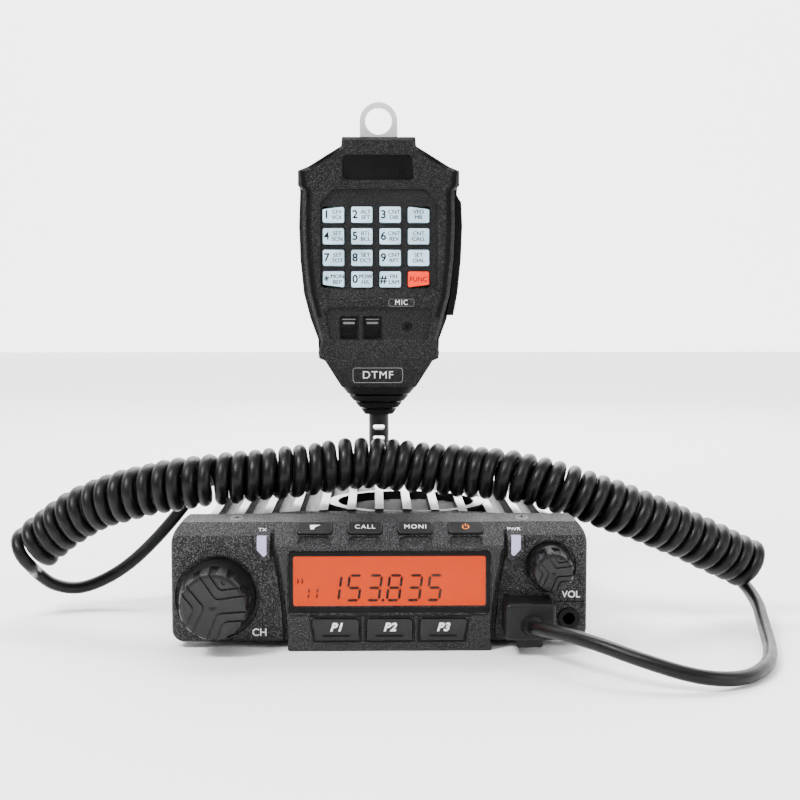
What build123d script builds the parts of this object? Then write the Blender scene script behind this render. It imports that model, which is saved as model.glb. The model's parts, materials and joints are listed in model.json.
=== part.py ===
from build123d import *
import math
import os

os.makedirs("parts", exist_ok=True)

# Mobile transceiver with its hand microphone and curly cord.
# Millimetres. +X is the viewer's right, -Y is the front, +Z is up.
# The origin is the middle of the transceiver's base.

# ---- driving dimensions: transceiver ----
BEZEL_W = 144.0          # width of the front panel
BEZEL_LOW = 2.2          # underside of the panel's wings
WING_Y = -80.5           # front face of the wings
BULGE_Y = -85.0          # front face of the raised middle
BODY_FRONT = -68.0       # where the panel meets the casting
BODY_BACK = 80.0
COVER_T = 1.6            # bottom cover
WALL = 3.0
FIN_COUNT = 13
FIN_PITCH = 10.0
FIN_W = 3.1
FIN_TOP = 46.0           # top of the middle fin
FIN_CROWN = 3.5          # how much lower the outer fins are
GROOVE_FLOOR = 38.6
FIN_START = -62.5        # fins stop short of the front flange
BODY_W = FIN_PITCH * (FIN_COUNT - 1) + FIN_W
CEILING = 35.0           # top of the inner space
GRILLE_X, GRILLE_Y = 10.0, -37.0
GRILLE_R, GRILLE_BAND = 29.0, 3.6
GRILLE_FLOOR = 41.0

BULGE_X = 3.4            # middle of the raised part, the display and the P keys
BULGE_TOP_W, BULGE_LOW_W = 79.0, 70.0
SLOPE_LOW_Z, SLOPE_MID_Z, SLOPE_TOP_Z = 39.6, 43.4, 45.2
SLOPE_MID_Y = -75.0
LCD_W, LCD_H, LCD_Z = 66.3, 17.4, 24.0
LENS_W, LENS_H = 69.2, 21.4
LENS_Z = 24.0

CH_X, CH_Z, CH_RING = -56.0, 18.2, 14.7
CH_BASE_R, CH_FACE_R, CH_FRONT = 13.4, 11.5, -96.5
VOL_X, VOL_Z, VOL_RING = 59.0, 28.6, 9.2
VOL_BASE_R, VOL_FACE_R, VOL_FRONT = 8.2, 6.9, -92.5
KNOB_BACK = -79.1        # rear face of both knobs
SHAFT_R = 3.0
FIT = 0.05               # running clearance of a shaft
GAP = 0.15               # clearance round a push button

TOP_KEY_X = [-22.5, -5.05, 12.4, 29.85]
TOP_KEY_W, TOP_KEY_H = 12.0, 5.8
P_KEY_X = [-14.9, 3.4, 21.7]
P_KEY_W, P_KEY_H, P_KEY_Z = 15.7, 7.4, 7.8
LED_X, LED_Z = [-40.5, 47.0], 36.4
JACK_X, JACK_Z = 65.7, 10.2
SOCKET_X, SOCKET_Z = 50.9, 12.2
BOOT_W, BOOT_H = 17.0, 12.6
BOOT_FRONT = -95.0

FAN_Z, FAN_SIZE, FAN_DEPTH = 18.6, 30.0, 8.0
ANT_X, ANT_Z = 38.0, 20.0
POWER_X, POWER_Z = -44.0, 14.0
REAR_JACK_X, REAR_JACK_Z = -25.0, 10.0
SIDE_HOLE_Y, SIDE_HOLE_Z = [-35.0, 35.0], 20.0
M4_TAP = 1.65

# ---- driving dimensions: microphone ----
MIC_FRONT, MIC_SPLIT, MIC_BACK = -19.0, -6.0, 9.0
MIC_MID = (MIC_FRONT + MIC_BACK) / 2
PAD_FLOOR = -17.8        # sunken keypad floor
KEY_X = [-17.3, -6.45, 4.4, 15.25]
KEY_Z = [152.5, 144.3, 136.1, 127.9]
KEY_W, KEY_H = 8.1, 6.1
KEY_FACE, KEY_BACK = -19.0, -14.8
SWITCH_X = [-11.5, -2.45]
SWITCH_Z, SWITCH_W, SWITCH_H = 109.3, 6.4, 8.2
NECK_R, NECK_LOW = 3.9, 62.0
TAB_Z, TAB_W, TAB_HOLE_R = 189.3, 14.6, 5.2
PTT_TOP, PTT_LOW = 160.5, 114.0

# ---- driving dimensions: cord ----
CORD_D = 4.75
COIL_D = 19.0


def front(y):
    """Plane facing the viewer at depth y: local x is X and local y is Z."""
    return Plane(origin=(0, y, 0), x_dir=(1, 0, 0), z_dir=(0, -1, 0))


def side(x):
    """Plane facing +X at x: local x is Y and local y is Z."""
    return Plane(origin=(x, 0, 0), x_dir=(0, 1, 0), z_dir=(1, 0, 0))


def save(piece, name):
    piece.label = name
    export_step(piece, f"parts/{name}.step")


def front_box(x, z, w, h, y_back, y_front, r=0.0):
    """Block seen from the front at (x, z), from y_back forward to y_front."""
    with BuildPart() as block:
        with BuildSketch(front(y_back)):
            with Locations((x, z)):
                if r > 0:
                    RectangleRounded(w, h, r)
                else:
                    Rectangle(w, h)
        extrude(amount=y_back - y_front)
    return block.part


def front_rod(x, z, r, y_back, y_front):
    """Round bar along Y at (x, z)."""
    with BuildPart() as rod:
        with BuildSketch(front(y_back)):
            with Locations((x, z)):
                Circle(r)
        extrude(amount=y_back - y_front)
    return rod.part


# ======================= transceiver: casting =======================

def fin_x(i):
    return (i - (FIN_COUNT - 1) / 2) * FIN_PITCH


with BuildPart() as chassis:
    # outer shape with a slightly crowned top
    with BuildSketch(front(BODY_BACK)):
        with BuildLine():
            half = BODY_W / 2
            Polyline((half, FIN_TOP - FIN_CROWN), (half, COVER_T), (-half, COVER_T), (-half, FIN_TOP - FIN_CROWN))
            ThreePointArc((-half, FIN_TOP - FIN_CROWN), (0, FIN_TOP), (half, FIN_TOP - FIN_CROWN))
        make_face()
    extrude(amount=BODY_BACK - BODY_FRONT)
    # the flange in front of the fins is flat and a little lower
    with BuildSketch(Plane.XY.offset(SLOPE_TOP_Z)):
        with Locations((0, (BODY_FRONT + FIN_START) / 2)):
            Rectangle(BODY_W + 1, FIN_START - BODY_FRONT)
    extrude(amount=5, mode=Mode.SUBTRACT)
    # grooves between the fins
    with BuildSketch(Plane.XY.offset(GROOVE_FLOOR)):
        for i in range(FIN_COUNT - 1):
            with Locations((fin_x(i) + FIN_PITCH / 2, (FIN_START + BODY_BACK) / 2)):
                Rectangle(FIN_PITCH - FIN_W, BODY_BACK - FIN_START)
    extrude(amount=10, mode=Mode.SUBTRACT)
    # speaker grille: raised floor and a ring that the fins run through
    with BuildSketch(Plane.XY.offset(GROOVE_FLOOR - 0.5)):
        with Locations((GRILLE_X, GRILLE_Y)):
            Circle(GRILLE_R)
    extrude(amount=GRILLE_FLOOR - GROOVE_FLOOR + 0.5)
    with BuildSketch(Plane.XY.offset(GRILLE_FLOOR)):
        with Locations((GRILLE_X, GRILLE_Y)):
            Circle(GRILLE_R)
            Circle(GRILLE_R - GRILLE_BAND, mode=Mode.SUBTRACT)
    extrude(amount=4.2)
    # inner space, open below and closed by the bottom cover
    with BuildSketch(Plane.XY.offset(COVER_T)):
        with Locations((0, (BODY_FRONT + BODY_BACK) / 2)):
            Rectangle(BODY_W - 2 * WALL, BODY_BACK - BODY_FRONT - 2 * WALL)
    extrude(amount=CEILING - COVER_T, mode=Mode.SUBTRACT)
    # sound slots through the grille floor, one in each groove
    with BuildSketch(Plane.XY.offset(CEILING - 1)):
        for i in range(FIN_COUNT - 1):
            x = fin_x(i) + FIN_PITCH / 2
            reach = 22.0 ** 2 - (x - GRILLE_X) ** 2
            if reach > 60:
                with Locations((x, GRILLE_Y)):
                    SlotOverall(2 * math.sqrt(reach), 4.4, rotation=90)
    extrude(amount=GRILLE_FLOOR - CEILING + 1.5, mode=Mode.SUBTRACT)
    # cable window to the front panel
    add(front_box(0, 20, 46, 12, BODY_FRONT + WALL + 1, BODY_FRONT - 1), mode=Mode.SUBTRACT)
    # rear wall: slotted fan grille and the connector holes
    with BuildSketch(front(BODY_BACK + 1)):
        with Locations((0, FAN_Z)):
            with GridLocations(1, 4.2, 1, 7):
                Rectangle(30, 2.6)
            Rectangle(1.6, 30, mode=Mode.SUBTRACT)
            Circle(13.6, mode=Mode.INTERSECT)
    extrude(amount=WALL + 2, mode=Mode.SUBTRACT)
    add(front_rod(ANT_X, ANT_Z, 6.2, BODY_BACK + 1, BODY_BACK - WALL - 1), mode=Mode.SUBTRACT)
    add(front_box(POWER_X, POWER_Z, 14, 9, BODY_BACK + 1, BODY_BACK - WALL - 1, 3), mode=Mode.SUBTRACT)
    add(front_rod(REAR_JACK_X, REAR_JACK_Z, 4.1, BODY_BACK + 1, BODY_BACK - WALL - 1), mode=Mode.SUBTRACT)
    # bracket holes in the sides, with bosses inside
    for s in (-1, 1):
        for y in SIDE_HOLE_Y:
            with BuildSketch(side(s * (BODY_W / 2 - WALL))):
                with Locations((y, SIDE_HOLE_Z)):
                    Circle(4.5)
            extrude(amount=-s * 4)
            with BuildSketch(side(s * BODY_W / 2)):
                with Locations((y, SIDE_HOLE_Z)):
                    Circle(M4_TAP)
            extrude(amount=-s * 7, mode=Mode.SUBTRACT)
    # long shallow flutes along the sides
    for s in (-1, 1):
        for z in (9.0, 31.0):
            with BuildSketch(side(s * BODY_W / 2)):
                with Locations(((BODY_FRONT + BODY_BACK) / 2 + 2, z)):
                    SlotOverall(128, 4)
            extrude(amount=-s * 1.0, mode=Mode.SUBTRACT)
save(chassis.part, "chassis")

with BuildPart() as bottom_cover:
    with BuildSketch(Plane.XY):
        with Locations((0, (BODY_FRONT + BODY_BACK) / 2)):
            RectangleRounded(BODY_W, BODY_BACK - BODY_FRONT - 0.4, 2)
    extrude(amount=COVER_T)
    with BuildSketch(Plane.XY):
        with Locations((0, 30)):
            with GridLocations(7, 1, 9, 1):
                SlotOverall(34, 2.6, rotation=90)
        with Locations((0, (BODY_FRONT + BODY_BACK) / 2)):
            with GridLocations(BODY_W - 8, 64, 2, 3):
                Circle(1.6)
    extrude(amount=COVER_T, mode=Mode.SUBTRACT)
save(bottom_cover.part, "bottom_cover")


def countersunk_screw(plane, head_r, shank_r, length):
    """Countersunk screw with its head flush with the plane and its shank behind it."""
    with BuildPart() as screw:
        with BuildSketch(plane):
            Circle(head_r)
        extrude(amount=-(head_r - shank_r), taper=44)
        with BuildSketch(plane):
            Circle(shank_r)
        extrude(amount=-length)
        with BuildSketch(plane):
            Rectangle(2 * head_r * 0.62, head_r * 0.22)
            Rectangle(head_r * 0.22, 2 * head_r * 0.62)
        extrude(amount=-0.5, mode=Mode.SUBTRACT)
    return screw.part


# ======================= transceiver: front panel =======================

SLOPE = (SLOPE_MID_Z - SLOPE_LOW_Z) / (SLOPE_MID_Y - WING_Y)
SLOPE_ANGLE = math.degrees(math.atan(SLOPE))


def slope_plane(x, y):
    """Plane on the panel's sloped top edge, looking out of it."""
    a = math.radians(SLOPE_ANGLE)
    z = SLOPE_LOW_Z + (y - WING_Y) * SLOPE
    return Plane(origin=(x, y, z), x_dir=(1, 0, 0), z_dir=(0, -math.sin(a), math.cos(a)))


def bulge_outline(grow):
    """Raised middle of the panel: wide at the top, narrower below, with bowed sides."""
    top, low = BULGE_TOP_W / 2 + grow, BULGE_LOW_W / 2 + grow
    with BuildSketch(front(0)) as outline:
        with BuildLine():
            Line((BULGE_X - low, -grow), (BULGE_X + low, -grow))
            ThreePointArc((BULGE_X + low, -grow), (BULGE_X + low + 0.9, 18), (BULGE_X + top, 37))
            Line((BULGE_X + top, 37), (BULGE_X + top, 52))
            Line((BULGE_X + top, 52), (BULGE_X - top, 52))
            Line((BULGE_X - top, 52), (BULGE_X - top, 37))
            ThreePointArc((BULGE_X - top, 37), (BULGE_X - low - 0.9, 18), (BULGE_X - low, -grow))
        make_face()
    return outline.sketch


def led_pod(x, toward, w, h, tip):
    """Five-sided pod whose lower inner corner points at the display."""
    return [(x - toward * w / 2, LED_Z + h / 2), (x + toward * w / 2, LED_Z + h / 2),
            (x + toward * w / 2, LED_Z - h / 2), (x + toward * (w / 2 - tip * 0.6), LED_Z - h / 2 - tip * 0.4),
            (x - toward * w / 2, LED_Z - h / 2 + tip)]


def p_key_outline(i, grow):
    """Panel key: the outer side of the first and last key slants inward below."""
    w, h = P_KEY_W / 2 + grow, P_KEY_H / 2 + grow
    x, z = P_KEY_X[i], P_KEY_Z
    left = 1.6 if i == 0 else 0.0
    right = 1.6 if i == 2 else 0.0
    return [(x - w - left / 2, z + h), (x + w + right / 2, z + h),
            (x + w - right / 2, z - h), (x - w + left / 2, z - h)]


with BuildPart() as top_slopes:
    # what the two slopes along the top take away
    with BuildSketch(side(-90)):
        with BuildLine():
            Polyline((WING_Y - 10, SLOPE_LOW_Z - 10 * SLOPE), (SLOPE_MID_Y, SLOPE_MID_Z),
                     (BODY_FRONT, SLOPE_TOP_Z), (BODY_FRONT + 1, 60), (WING_Y - 10, 60), close=True)
        make_face()
    extrude(amount=180)

with BuildPart() as bulge:
    add(extrude(bulge_outline(0).moved(Location((0, BODY_FRONT, 0))), amount=BODY_FRONT - BULGE_Y))
    add(top_slopes.part, mode=Mode.SUBTRACT)
    fillet(bulge.faces().sort_by(Axis.Y)[0].edges().filter_by(GeomType.CIRCLE), radius=0.8)
    fillet(bulge.faces().sort_by(Axis.Y)[0].edges().filter_by(GeomType.LINE), radius=0.6)

BEZEL_HALF = BEZEL_W / 2
with BuildPart() as front_bezel:
    with BuildSketch(front(BODY_FRONT)):
        with BuildLine():
            low_r = 4.5
            Polyline((BEZEL_HALF - low_r, BEZEL_LOW), (-BEZEL_HALF + low_r, BEZEL_LOW))
            ThreePointArc((-BEZEL_HALF + low_r, BEZEL_LOW), (-BEZEL_HALF + 1.3, BEZEL_LOW + 1.3),
                          (-BEZEL_HALF, BEZEL_LOW + low_r))
            Line((-BEZEL_HALF, BEZEL_LOW + low_r), (-BEZEL_HALF, 36.5))
            ThreePointArc((-BEZEL_HALF, 36.5), (-BEZEL_HALF + 1.9, 42.0), (-BEZEL_HALF + 7.0, 46.0))
            Line((-BEZEL_HALF + 7.0, 46.0), (BEZEL_HALF - 7.0, 46.0))
            ThreePointArc((BEZEL_HALF - 7.0, 46.0), (BEZEL_HALF - 1.9, 42.0), (BEZEL_HALF, 36.5))
            Line((BEZEL_HALF, 36.5), (BEZEL_HALF, BEZEL_LOW + low_r))
            ThreePointArc((BEZEL_HALF, BEZEL_LOW + low_r), (BEZEL_HALF - 1.3, BEZEL_LOW + 1.3),
                          (BEZEL_HALF - low_r, BEZEL_LOW))
        make_face()
    extrude(amount=BODY_FRONT - WING_Y)
    fillet(front_bezel.faces().sort_by(Axis.Y)[0].edges(), radius=1.5)
    # dark channel beside the raised middle
    add(extrude(bulge_outline(1.9).moved(Location((0, WING_Y + 2.2, 0))), amount=6), mode=Mode.SUBTRACT)
    # pods of the two indicator lenses
    for x, toward in ((LED_X[0], 1), (LED_X[1], -1)):
        with BuildSketch(front(WING_Y + 2)):
            with BuildLine():
                Polyline(*led_pod(x, toward, 5.6, 9.4, 2.6), close=True)
            make_face()
        extrude(amount=4.2)
    add(top_slopes.part, mode=Mode.SUBTRACT)
    add(bulge.part)
    # hollow behind the face
    add(front_box(0, 22, BEZEL_W - 6, 34.6, BODY_FRONT + 1, WING_Y + 3, 4), mode=Mode.SUBTRACT)
    add(front_box(BULGE_X, LENS_Z, LENS_W - 1.4, LENS_H + 1.6, WING_Y + 4, -82.0, 1), mode=Mode.SUBTRACT)
    # rear walls of the wings, beside the case
    for x in (-65.4, 65.4):
        add(front_box(x, 22, 7.4, 34.9, BODY_FRONT, BODY_FRONT - 0.8))
    # display opening with its sunken frame
    add(front_box(BULGE_X, LENS_Z - 0.3, LENS_W + 1.2, LENS_H + 1.4, -84.1, BULGE_Y - 1, 2.2), mode=Mode.SUBTRACT)
    add(front_box(BULGE_X, LENS_Z, LENS_W + 0.2, LENS_H + 0.2, -83.0, BULGE_Y - 1, 1.2), mode=Mode.SUBTRACT)
    add(front_box(BULGE_X, LCD_Z, LCD_W, LCD_H, -80, BULGE_Y - 1, 0.8), mode=Mode.SUBTRACT)
    # lower keys
    for i in range(3):
        with BuildSketch(front(-76)):
            with BuildLine():
                Polyline(*p_key_outline(i, GAP), close=True)
            make_face()
            fillet(vertices(), radius=1.2)
        extrude(amount=12, mode=Mode.SUBTRACT)
    # upper keys on the slope, each with a thumb scallop below it
    for x in TOP_KEY_X:
        with BuildSketch(slope_plane(x, -77.9)):
            RectangleRounded(TOP_KEY_W + 2 * GAP, TOP_KEY_H + 2 * GAP, 1.2 + GAP)
        extrude(amount=-9, both=True, mode=Mode.SUBTRACT)
        with BuildSketch(slope_plane(x, -83.2)):
            with Locations((0, 0.2)):
                RectangleRounded(TOP_KEY_W - 0.6, 5.6, 2.2)
        extrude(amount=-0.9, mode=Mode.SUBTRACT)
    # knob wells and shaft holes
    add(front_rod(CH_X, CH_Z, CH_RING, WING_Y + 1.7, WING_Y - 1), mode=Mode.SUBTRACT)
    add(front_rod(VOL_X, VOL_Z, VOL_RING, WING_Y + 1.7, WING_Y - 1), mode=Mode.SUBTRACT)
    add(front_rod(CH_X, CH_Z, 3.7, -76, WING_Y), mode=Mode.SUBTRACT)
    add(front_rod(VOL_X, VOL_Z, 3.7, -76, WING_Y), mode=Mode.SUBTRACT)
    # lens pockets
    for x, toward in ((LED_X[0], 1), (LED_X[1], -1)):
        with BuildSketch(front(WING_Y + 1.2)):
            with BuildLine():
                Polyline(*led_pod(x, toward, 3.3, 6.4, 1.7), close=True)
            make_face()
        extrude(amount=6, mode=Mode.SUBTRACT)
    # jack and microphone socket openings
    add(front_rod(JACK_X, JACK_Z, 4.0, -76, WING_Y - 1), mode=Mode.SUBTRACT)
    add(front_box(SOCKET_X, SOCKET_Z, 13.0, 11.6, -76, WING_Y - 1, 0.5), mode=Mode.SUBTRACT)
    # panel line above the jack
    add(front_box(67.2, 16.2, 10.4, 0.5, WING_Y + 0.5, WING_Y - 1), mode=Mode.SUBTRACT)
    # holes of the two flange screws
    for x in (-50.0, 50.0):
        with BuildSketch(Plane(origin=(x, -71.4, 44.5), z_dir=(0, -0.249, 0.9685))):
            Circle(2.35)
        extrude(amount=6, both=True, mode=Mode.SUBTRACT)
save(front_bezel.part, "front_bezel")

with BuildPart() as display_window:
    add(front_box(BULGE_X, LENS_Z, LENS_W, LENS_H, -83.0, -84.1, 1.1))
save(display_window.part, "display_window")

with BuildPart() as lcd_module:
    add(front_box(BULGE_X, LENS_Z, LENS_W - 2.0, LENS_H + 1.0, -77.5, -81.95, 0.8))
save(lcd_module.part, "lcd_module")

with BuildPart() as status_led_lenses:
    for x, toward in ((LED_X[0], 1), (LED_X[1], -1)):
        with BuildSketch(front(WING_Y + 1.2)):
            with BuildLine():
                Polyline(*led_pod(x, toward, 3.2, 6.3, 1.7), close=True)
            make_face()
        extrude(amount=3.5)
save(status_led_lenses.part, "status_led_lenses")

with BuildPart() as case_screws:
    for x in (-50.0, 50.0):
        add(countersunk_screw(Plane(origin=(x, -71.4, 44.35), z_dir=(0, -0.249, 0.9685)), 2.3, 1.4, 3.0))
    mid = (BODY_FRONT + BODY_BACK) / 2
    for x in (-(BODY_W - 8) / 2, (BODY_W - 8) / 2):
        for y in (mid - 64, mid, mid + 64):
            with BuildSketch(Plane.XY.offset(COVER_T)):
                with Locations((x, y)):
                    Circle(1.55)
            extrude(amount=-COVER_T + 0.2)
save(case_screws.part, "case_screws")

with BuildPart() as front_circuit_board:
    add(front_box(0, 21.8, 134, 31.5, -75.2, -76.8, 2))
    for x, z in ((CH_X, CH_Z), (VOL_X, VOL_Z)):
        add(front_rod(x, z, 3.8, -74, -78), mode=Mode.SUBTRACT)
    add(front_box(SOCKET_X, SOCKET_Z, 16.4, 13.8, -74, -78), mode=Mode.SUBTRACT)
    add(front_rod(JACK_X, JACK_Z, 4.6, -74, -78), mode=Mode.SUBTRACT)
save(front_circuit_board.part, "front_circuit_board")


def shaft_control(x, z, body_w, bush_front, shaft_front):
    """Rotary control: body behind the board, threaded bush and round shaft."""
    with BuildPart() as control:
        add(front_box(x, z, body_w, body_w, -69.0, -75.2, 0.8))
        add(front_rod(x, z, 3.55, -75.0, bush_front))
        add(front_rod(x, z, SHAFT_R, -75.0, shaft_front))
    return control.part


save(shaft_control(CH_X, CH_Z, 12.0, -79.0, -92.0), "channel_encoder")
save(shaft_control(VOL_X, VOL_Z, 10.0, -79.0, -88.0), "volume_control")


def arm_knob(x, z, base_r, face_r, y_front, notches):
    """Round knob: notched rim, three arms with nested V grooves between them, pointer dimple."""
    length = KNOB_BACK - y_front
    with BuildPart() as knob:
        with BuildSketch(Plane(origin=(x, 0, z), x_dir=(1, 0, 0), z_dir=(0, 0, 1))):
            with BuildLine():
                Polyline((0, y_front + 0.4), (face_r - 1.6, y_front), (face_r - 0.5, y_front + 0.35),
                         (face_r, y_front + 1.2), (face_r + 0.5, KNOB_BACK - 0.42 * length),
                         (base_r - 0.3, KNOB_BACK - 0.2 * length), (base_r, KNOB_BACK), (0, KNOB_BACK),
                         close=True)
            make_face()
        revolve(axis=Axis((x, 0, z), (0, 1, 0)))
        # finger notches round the front half of the rim
        with BuildSketch(front(KNOB_BACK - 0.42 * length)):
            with Locations((x, z)):
                with PolarLocations(face_r + 1.3, notches):
                    Circle(1.9)
        extrude(amount=length, mode=Mode.SUBTRACT)
        # two nested V grooves in each third of the face leave three arms between them
        for k in range(3):
            a = math.radians(66 + 120 * k)
            for reach in (0.24, 0.54):
                tip = (x + face_r * reach * math.cos(a), z + face_r * reach * math.sin(a))
                ends = []
                for turn in (-1, 1):
                    b = a + turn * math.radians(58)
                    ends.append((tip[0] + 1.1 * face_r * math.cos(b), tip[1] + 1.1 * face_r * math.sin(b)))
                with BuildSketch(front(y_front - 0.5)):
                    with BuildLine():
                        FilletPolyline(ends[0], tip, ends[1], radius=0.16 * face_r)
                    trace(line_width=0.062 * face_r)
                extrude(amount=-1.7, mode=Mode.SUBTRACT)
        # pointer dimple
        with BuildSketch(front(y_front - 0.5)):
            with Locations((x + 0.8 * face_r * math.cos(math.radians(66)),
                            z + 0.8 * face_r * math.sin(math.radians(66)))):
                Circle(0.08 * face_r)
        extrude(amount=-1.3, mode=Mode.SUBTRACT)
        add(front_rod(x, z, SHAFT_R + FIT, KNOB_BACK + 1, y_front + 4.0), mode=Mode.SUBTRACT)
        add(front_rod(x, z, 3.8, KNOB_BACK + 1, KNOB_BACK - 1), mode=Mode.SUBTRACT)
    return knob.part


save(arm_knob(CH_X, CH_Z, CH_BASE_R, CH_FACE_R, CH_FRONT, 12), "channel_knob")
save(arm_knob(VOL_X, VOL_Z, VOL_BASE_R, VOL_FACE_R, VOL_FRONT, 9), "volume_knob")

TOP_KEYS = ["scan_button", "call_button", "monitor_button", "power_button"]
for x, name in zip(TOP_KEY_X, TOP_KEYS):
    with BuildPart() as top_key:
        with BuildSketch(slope_plane(x, -77.9)):
            RectangleRounded(TOP_KEY_W, TOP_KEY_H, 1.2)
        extrude(amount=0.9)
        extrude(top_key.faces().sort_by(Axis((0, -77.9, 41), (0, -0.57, 0.82)))[0], amount=2.4)
        fillet(top_key.faces().sort_by(Axis((0, -77.9, 41), (0, -0.57, 0.82)))[-1].edges(), radius=0.4)
    save(top_key.part, name)

for i, name in enumerate(["p1_button", "p2_button", "p3_button"]):
    with BuildPart() as p_key:
        with BuildSketch(front(-81.0)):
            with BuildLine():
                Polyline(*p_key_outline(i, 0), close=True)
            make_face()
            fillet(vertices(), radius=1.1)
        extrude(amount=-BULGE_Y - 81.0 + 1.2)
        fillet(p_key.faces().sort_by(Axis.Y)[0].edges(), radius=0.45)
    save(p_key.part, name)

with BuildPart() as mic_socket:
    add(front_box(SOCKET_X, SOCKET_Z, 16.0, 13.4, -69.5, -77.3, 0.5))
    add(front_box(SOCKET_X, SOCKET_Z, 12.9, 11.5, -77.3, WING_Y, 0.4))
    add(front_box(SOCKET_X, SOCKET_Z, 11.8, 7.2, -71.0, WING_Y - 1), mode=Mode.SUBTRACT)
    add(front_box(SOCKET_X, SOCKET_Z - 4.2, 6.2, 2.4, -71.0, WING_Y - 1), mode=Mode.SUBTRACT)
save(mic_socket.part, "mic_socket")

with BuildPart() as headphone_jack:
    add(front_rod(JACK_X, JACK_Z, 3.1, -69.5, -77.6))
    add(front_rod(JACK_X, JACK_Z, 3.95, -77.4, WING_Y - 0.5))
    fillet(headphone_jack.faces().sort_by(Axis.Y)[0].edges(), radius=0.4)
    add(front_rod(JACK_X, JACK_Z, 2.1, -71.0, WING_Y - 2), mode=Mode.SUBTRACT)
save(headphone_jack.part, "headphone_jack")

# ======================= transceiver: inside and rear =======================

with BuildPart() as main_circuit_board:
    with BuildSketch(Plane.XY.offset(6.0)):
        with Locations((0, 0)):
            Rectangle(112, 122)
    extrude(amount=1.6)
    # shielding cans, power module and filter coils' cover
    for x, y, w, d, h in ((-32, -30, 34, 40, 5), (28, 30, 40, 26, 7), (-34, 22, 26, 30, 4), (30, -8, 22, 18, 5)):
        with BuildSketch(Plane.XY.offset(7.6)):
            with Locations((x, y)):
                RectangleRounded(w, d, 1)
        extrude(amount=h)
save(main_circuit_board.part, "main_circuit_board")

with BuildPart() as speaker:
    with BuildSketch(Plane(origin=(GRILLE_X, GRILLE_Y, 0), x_dir=(1, 0, 0), z_dir=(0, -1, 0))):
        with BuildLine():
            Polyline((0, 21), (10, 21), (10, 27), (14, 27), (25.5, 32.2), (25.5, 34.9), (22.5, 34.9),
                     (9, 30.5), (0, 31.5), close=True)
        make_face()
    revolve(axis=Axis((GRILLE_X, GRILLE_Y, 0), (0, 0, 1)))
save(speaker.part, "speaker")

with BuildPart() as speaker_cloth:
    # woven strips that lie between the fins inside the grille ring
    with BuildSketch(Plane.XY.offset(GRILLE_FLOOR)):
        with Locations((GRILLE_X, GRILLE_Y)):
            Circle(GRILLE_R - GRILLE_BAND - 0.1)
        for i in range(FIN_COUNT):
            with Locations((fin_x(i), GRILLE_Y)):
                Rectangle(FIN_W + 0.1, 2 * GRILLE_R, mode=Mode.SUBTRACT)
    extrude(amount=1.0)
save(speaker_cloth.part, "speaker_cloth")

FAN_BACK = BODY_BACK - WALL
with BuildPart() as fan_frame:
    add(front_box(0, FAN_Z, FAN_SIZE, FAN_SIZE, FAN_BACK, FAN_BACK - FAN_DEPTH, 2.5))
    add(front_rod(0, FAN_Z, 14.0, FAN_BACK + 1, FAN_BACK - FAN_DEPTH - 1), mode=Mode.SUBTRACT)
    # motor mount on three struts at the inner side
    with BuildSketch(front(FAN_BACK - FAN_DEPTH + 1.2)):
        with Locations((0, FAN_Z)):
            Circle(6.5)
            with PolarLocations(10, 3, start_angle=90):
                Rectangle(10, 1.6)
    extrude(amount=1.2)
    add(front_rod(0, FAN_Z, 1.0, FAN_BACK - 2.0, FAN_BACK - FAN_DEPTH + 0.5))
save(fan_frame.part, "fan_frame")

with BuildPart() as fan_rotor:
    add(front_rod(0, FAN_Z, 6.5, FAN_BACK - 0.8, FAN_BACK - FAN_DEPTH + 1.6))
    blade_mid = FAN_BACK - 3.6
    for k in range(7):
        turn = math.radians(360 / 7 * k)
        out = (math.cos(turn), 0, math.sin(turn))
        across = (-math.sin(turn) * 0.8, -0.6, math.cos(turn) * 0.8)
        with BuildSketch(Plane(origin=(6.0 * out[0], blade_mid, FAN_Z + 6.0 * out[2]), x_dir=across, z_dir=out)):
            Rectangle(6.0, 1.0)
        extrude(amount=7.2)
    add(front_rod(0, FAN_Z, 1.0 + FIT, FAN_BACK + 1, FAN_BACK - FAN_DEPTH), mode=Mode.SUBTRACT)
save(fan_rotor.part, "fan_rotor")

with BuildPart() as antenna_socket:
    # square-flanged coaxial socket with a 5/8 inch thread
    add(front_box(ANT_X, ANT_Z, 25.4, 25.4, BODY_BACK + 2.6, BODY_BACK, 1.5))
    add(front_rod(ANT_X, ANT_Z, 7.9, BODY_BACK + 16.0, BODY_BACK))
    chamfer(antenna_socket.faces().sort_by(Axis.Y)[-1].edges(), length=0.7)
    add(front_rod(ANT_X, ANT_Z, 6.2, BODY_BACK, BODY_BACK - 5))
    add(front_rod(ANT_X, ANT_Z, 6.3, BODY_BACK + 17, BODY_BACK + 7), mode=Mode.SUBTRACT)
    add(front_rod(ANT_X, ANT_Z, 3.2, BODY_BACK + 14.5, BODY_BACK + 6.5))
    add(front_rod(ANT_X, ANT_Z, 1.9, BODY_BACK + 17, BODY_BACK + 4), mode=Mode.SUBTRACT)
    for dx, dz in ((-1, -1), (-1, 1), (1, -1), (1, 1)):
        add(front_rod(ANT_X + 9.05 * dx, ANT_Z + 9.05 * dz, 1.6, BODY_BACK + 3, BODY_BACK - 1), mode=Mode.SUBTRACT)
save(antenna_socket.part, "antenna_socket")

with BuildPart() as power_inlet:
    # rubber grommet with two wire holes
    add(front_box(POWER_X, POWER_Z, 13.9, 8.9, BODY_BACK, BODY_BACK - WALL, 2.9))
    add(front_box(POWER_X, POWER_Z, 17, 12, BODY_BACK + 2.2, BODY_BACK, 4))
    fillet(power_inlet.faces().sort_by(Axis.Y)[-1].edges(), radius=0.9)
    for dx in (-3.0, 3.0):
        add(front_rod(POWER_X + dx, POWER_Z, 2.0, BODY_BACK + 3, BODY_BACK - WALL - 1), mode=Mode.SUBTRACT)
save(power_inlet.part, "power_inlet")

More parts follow.
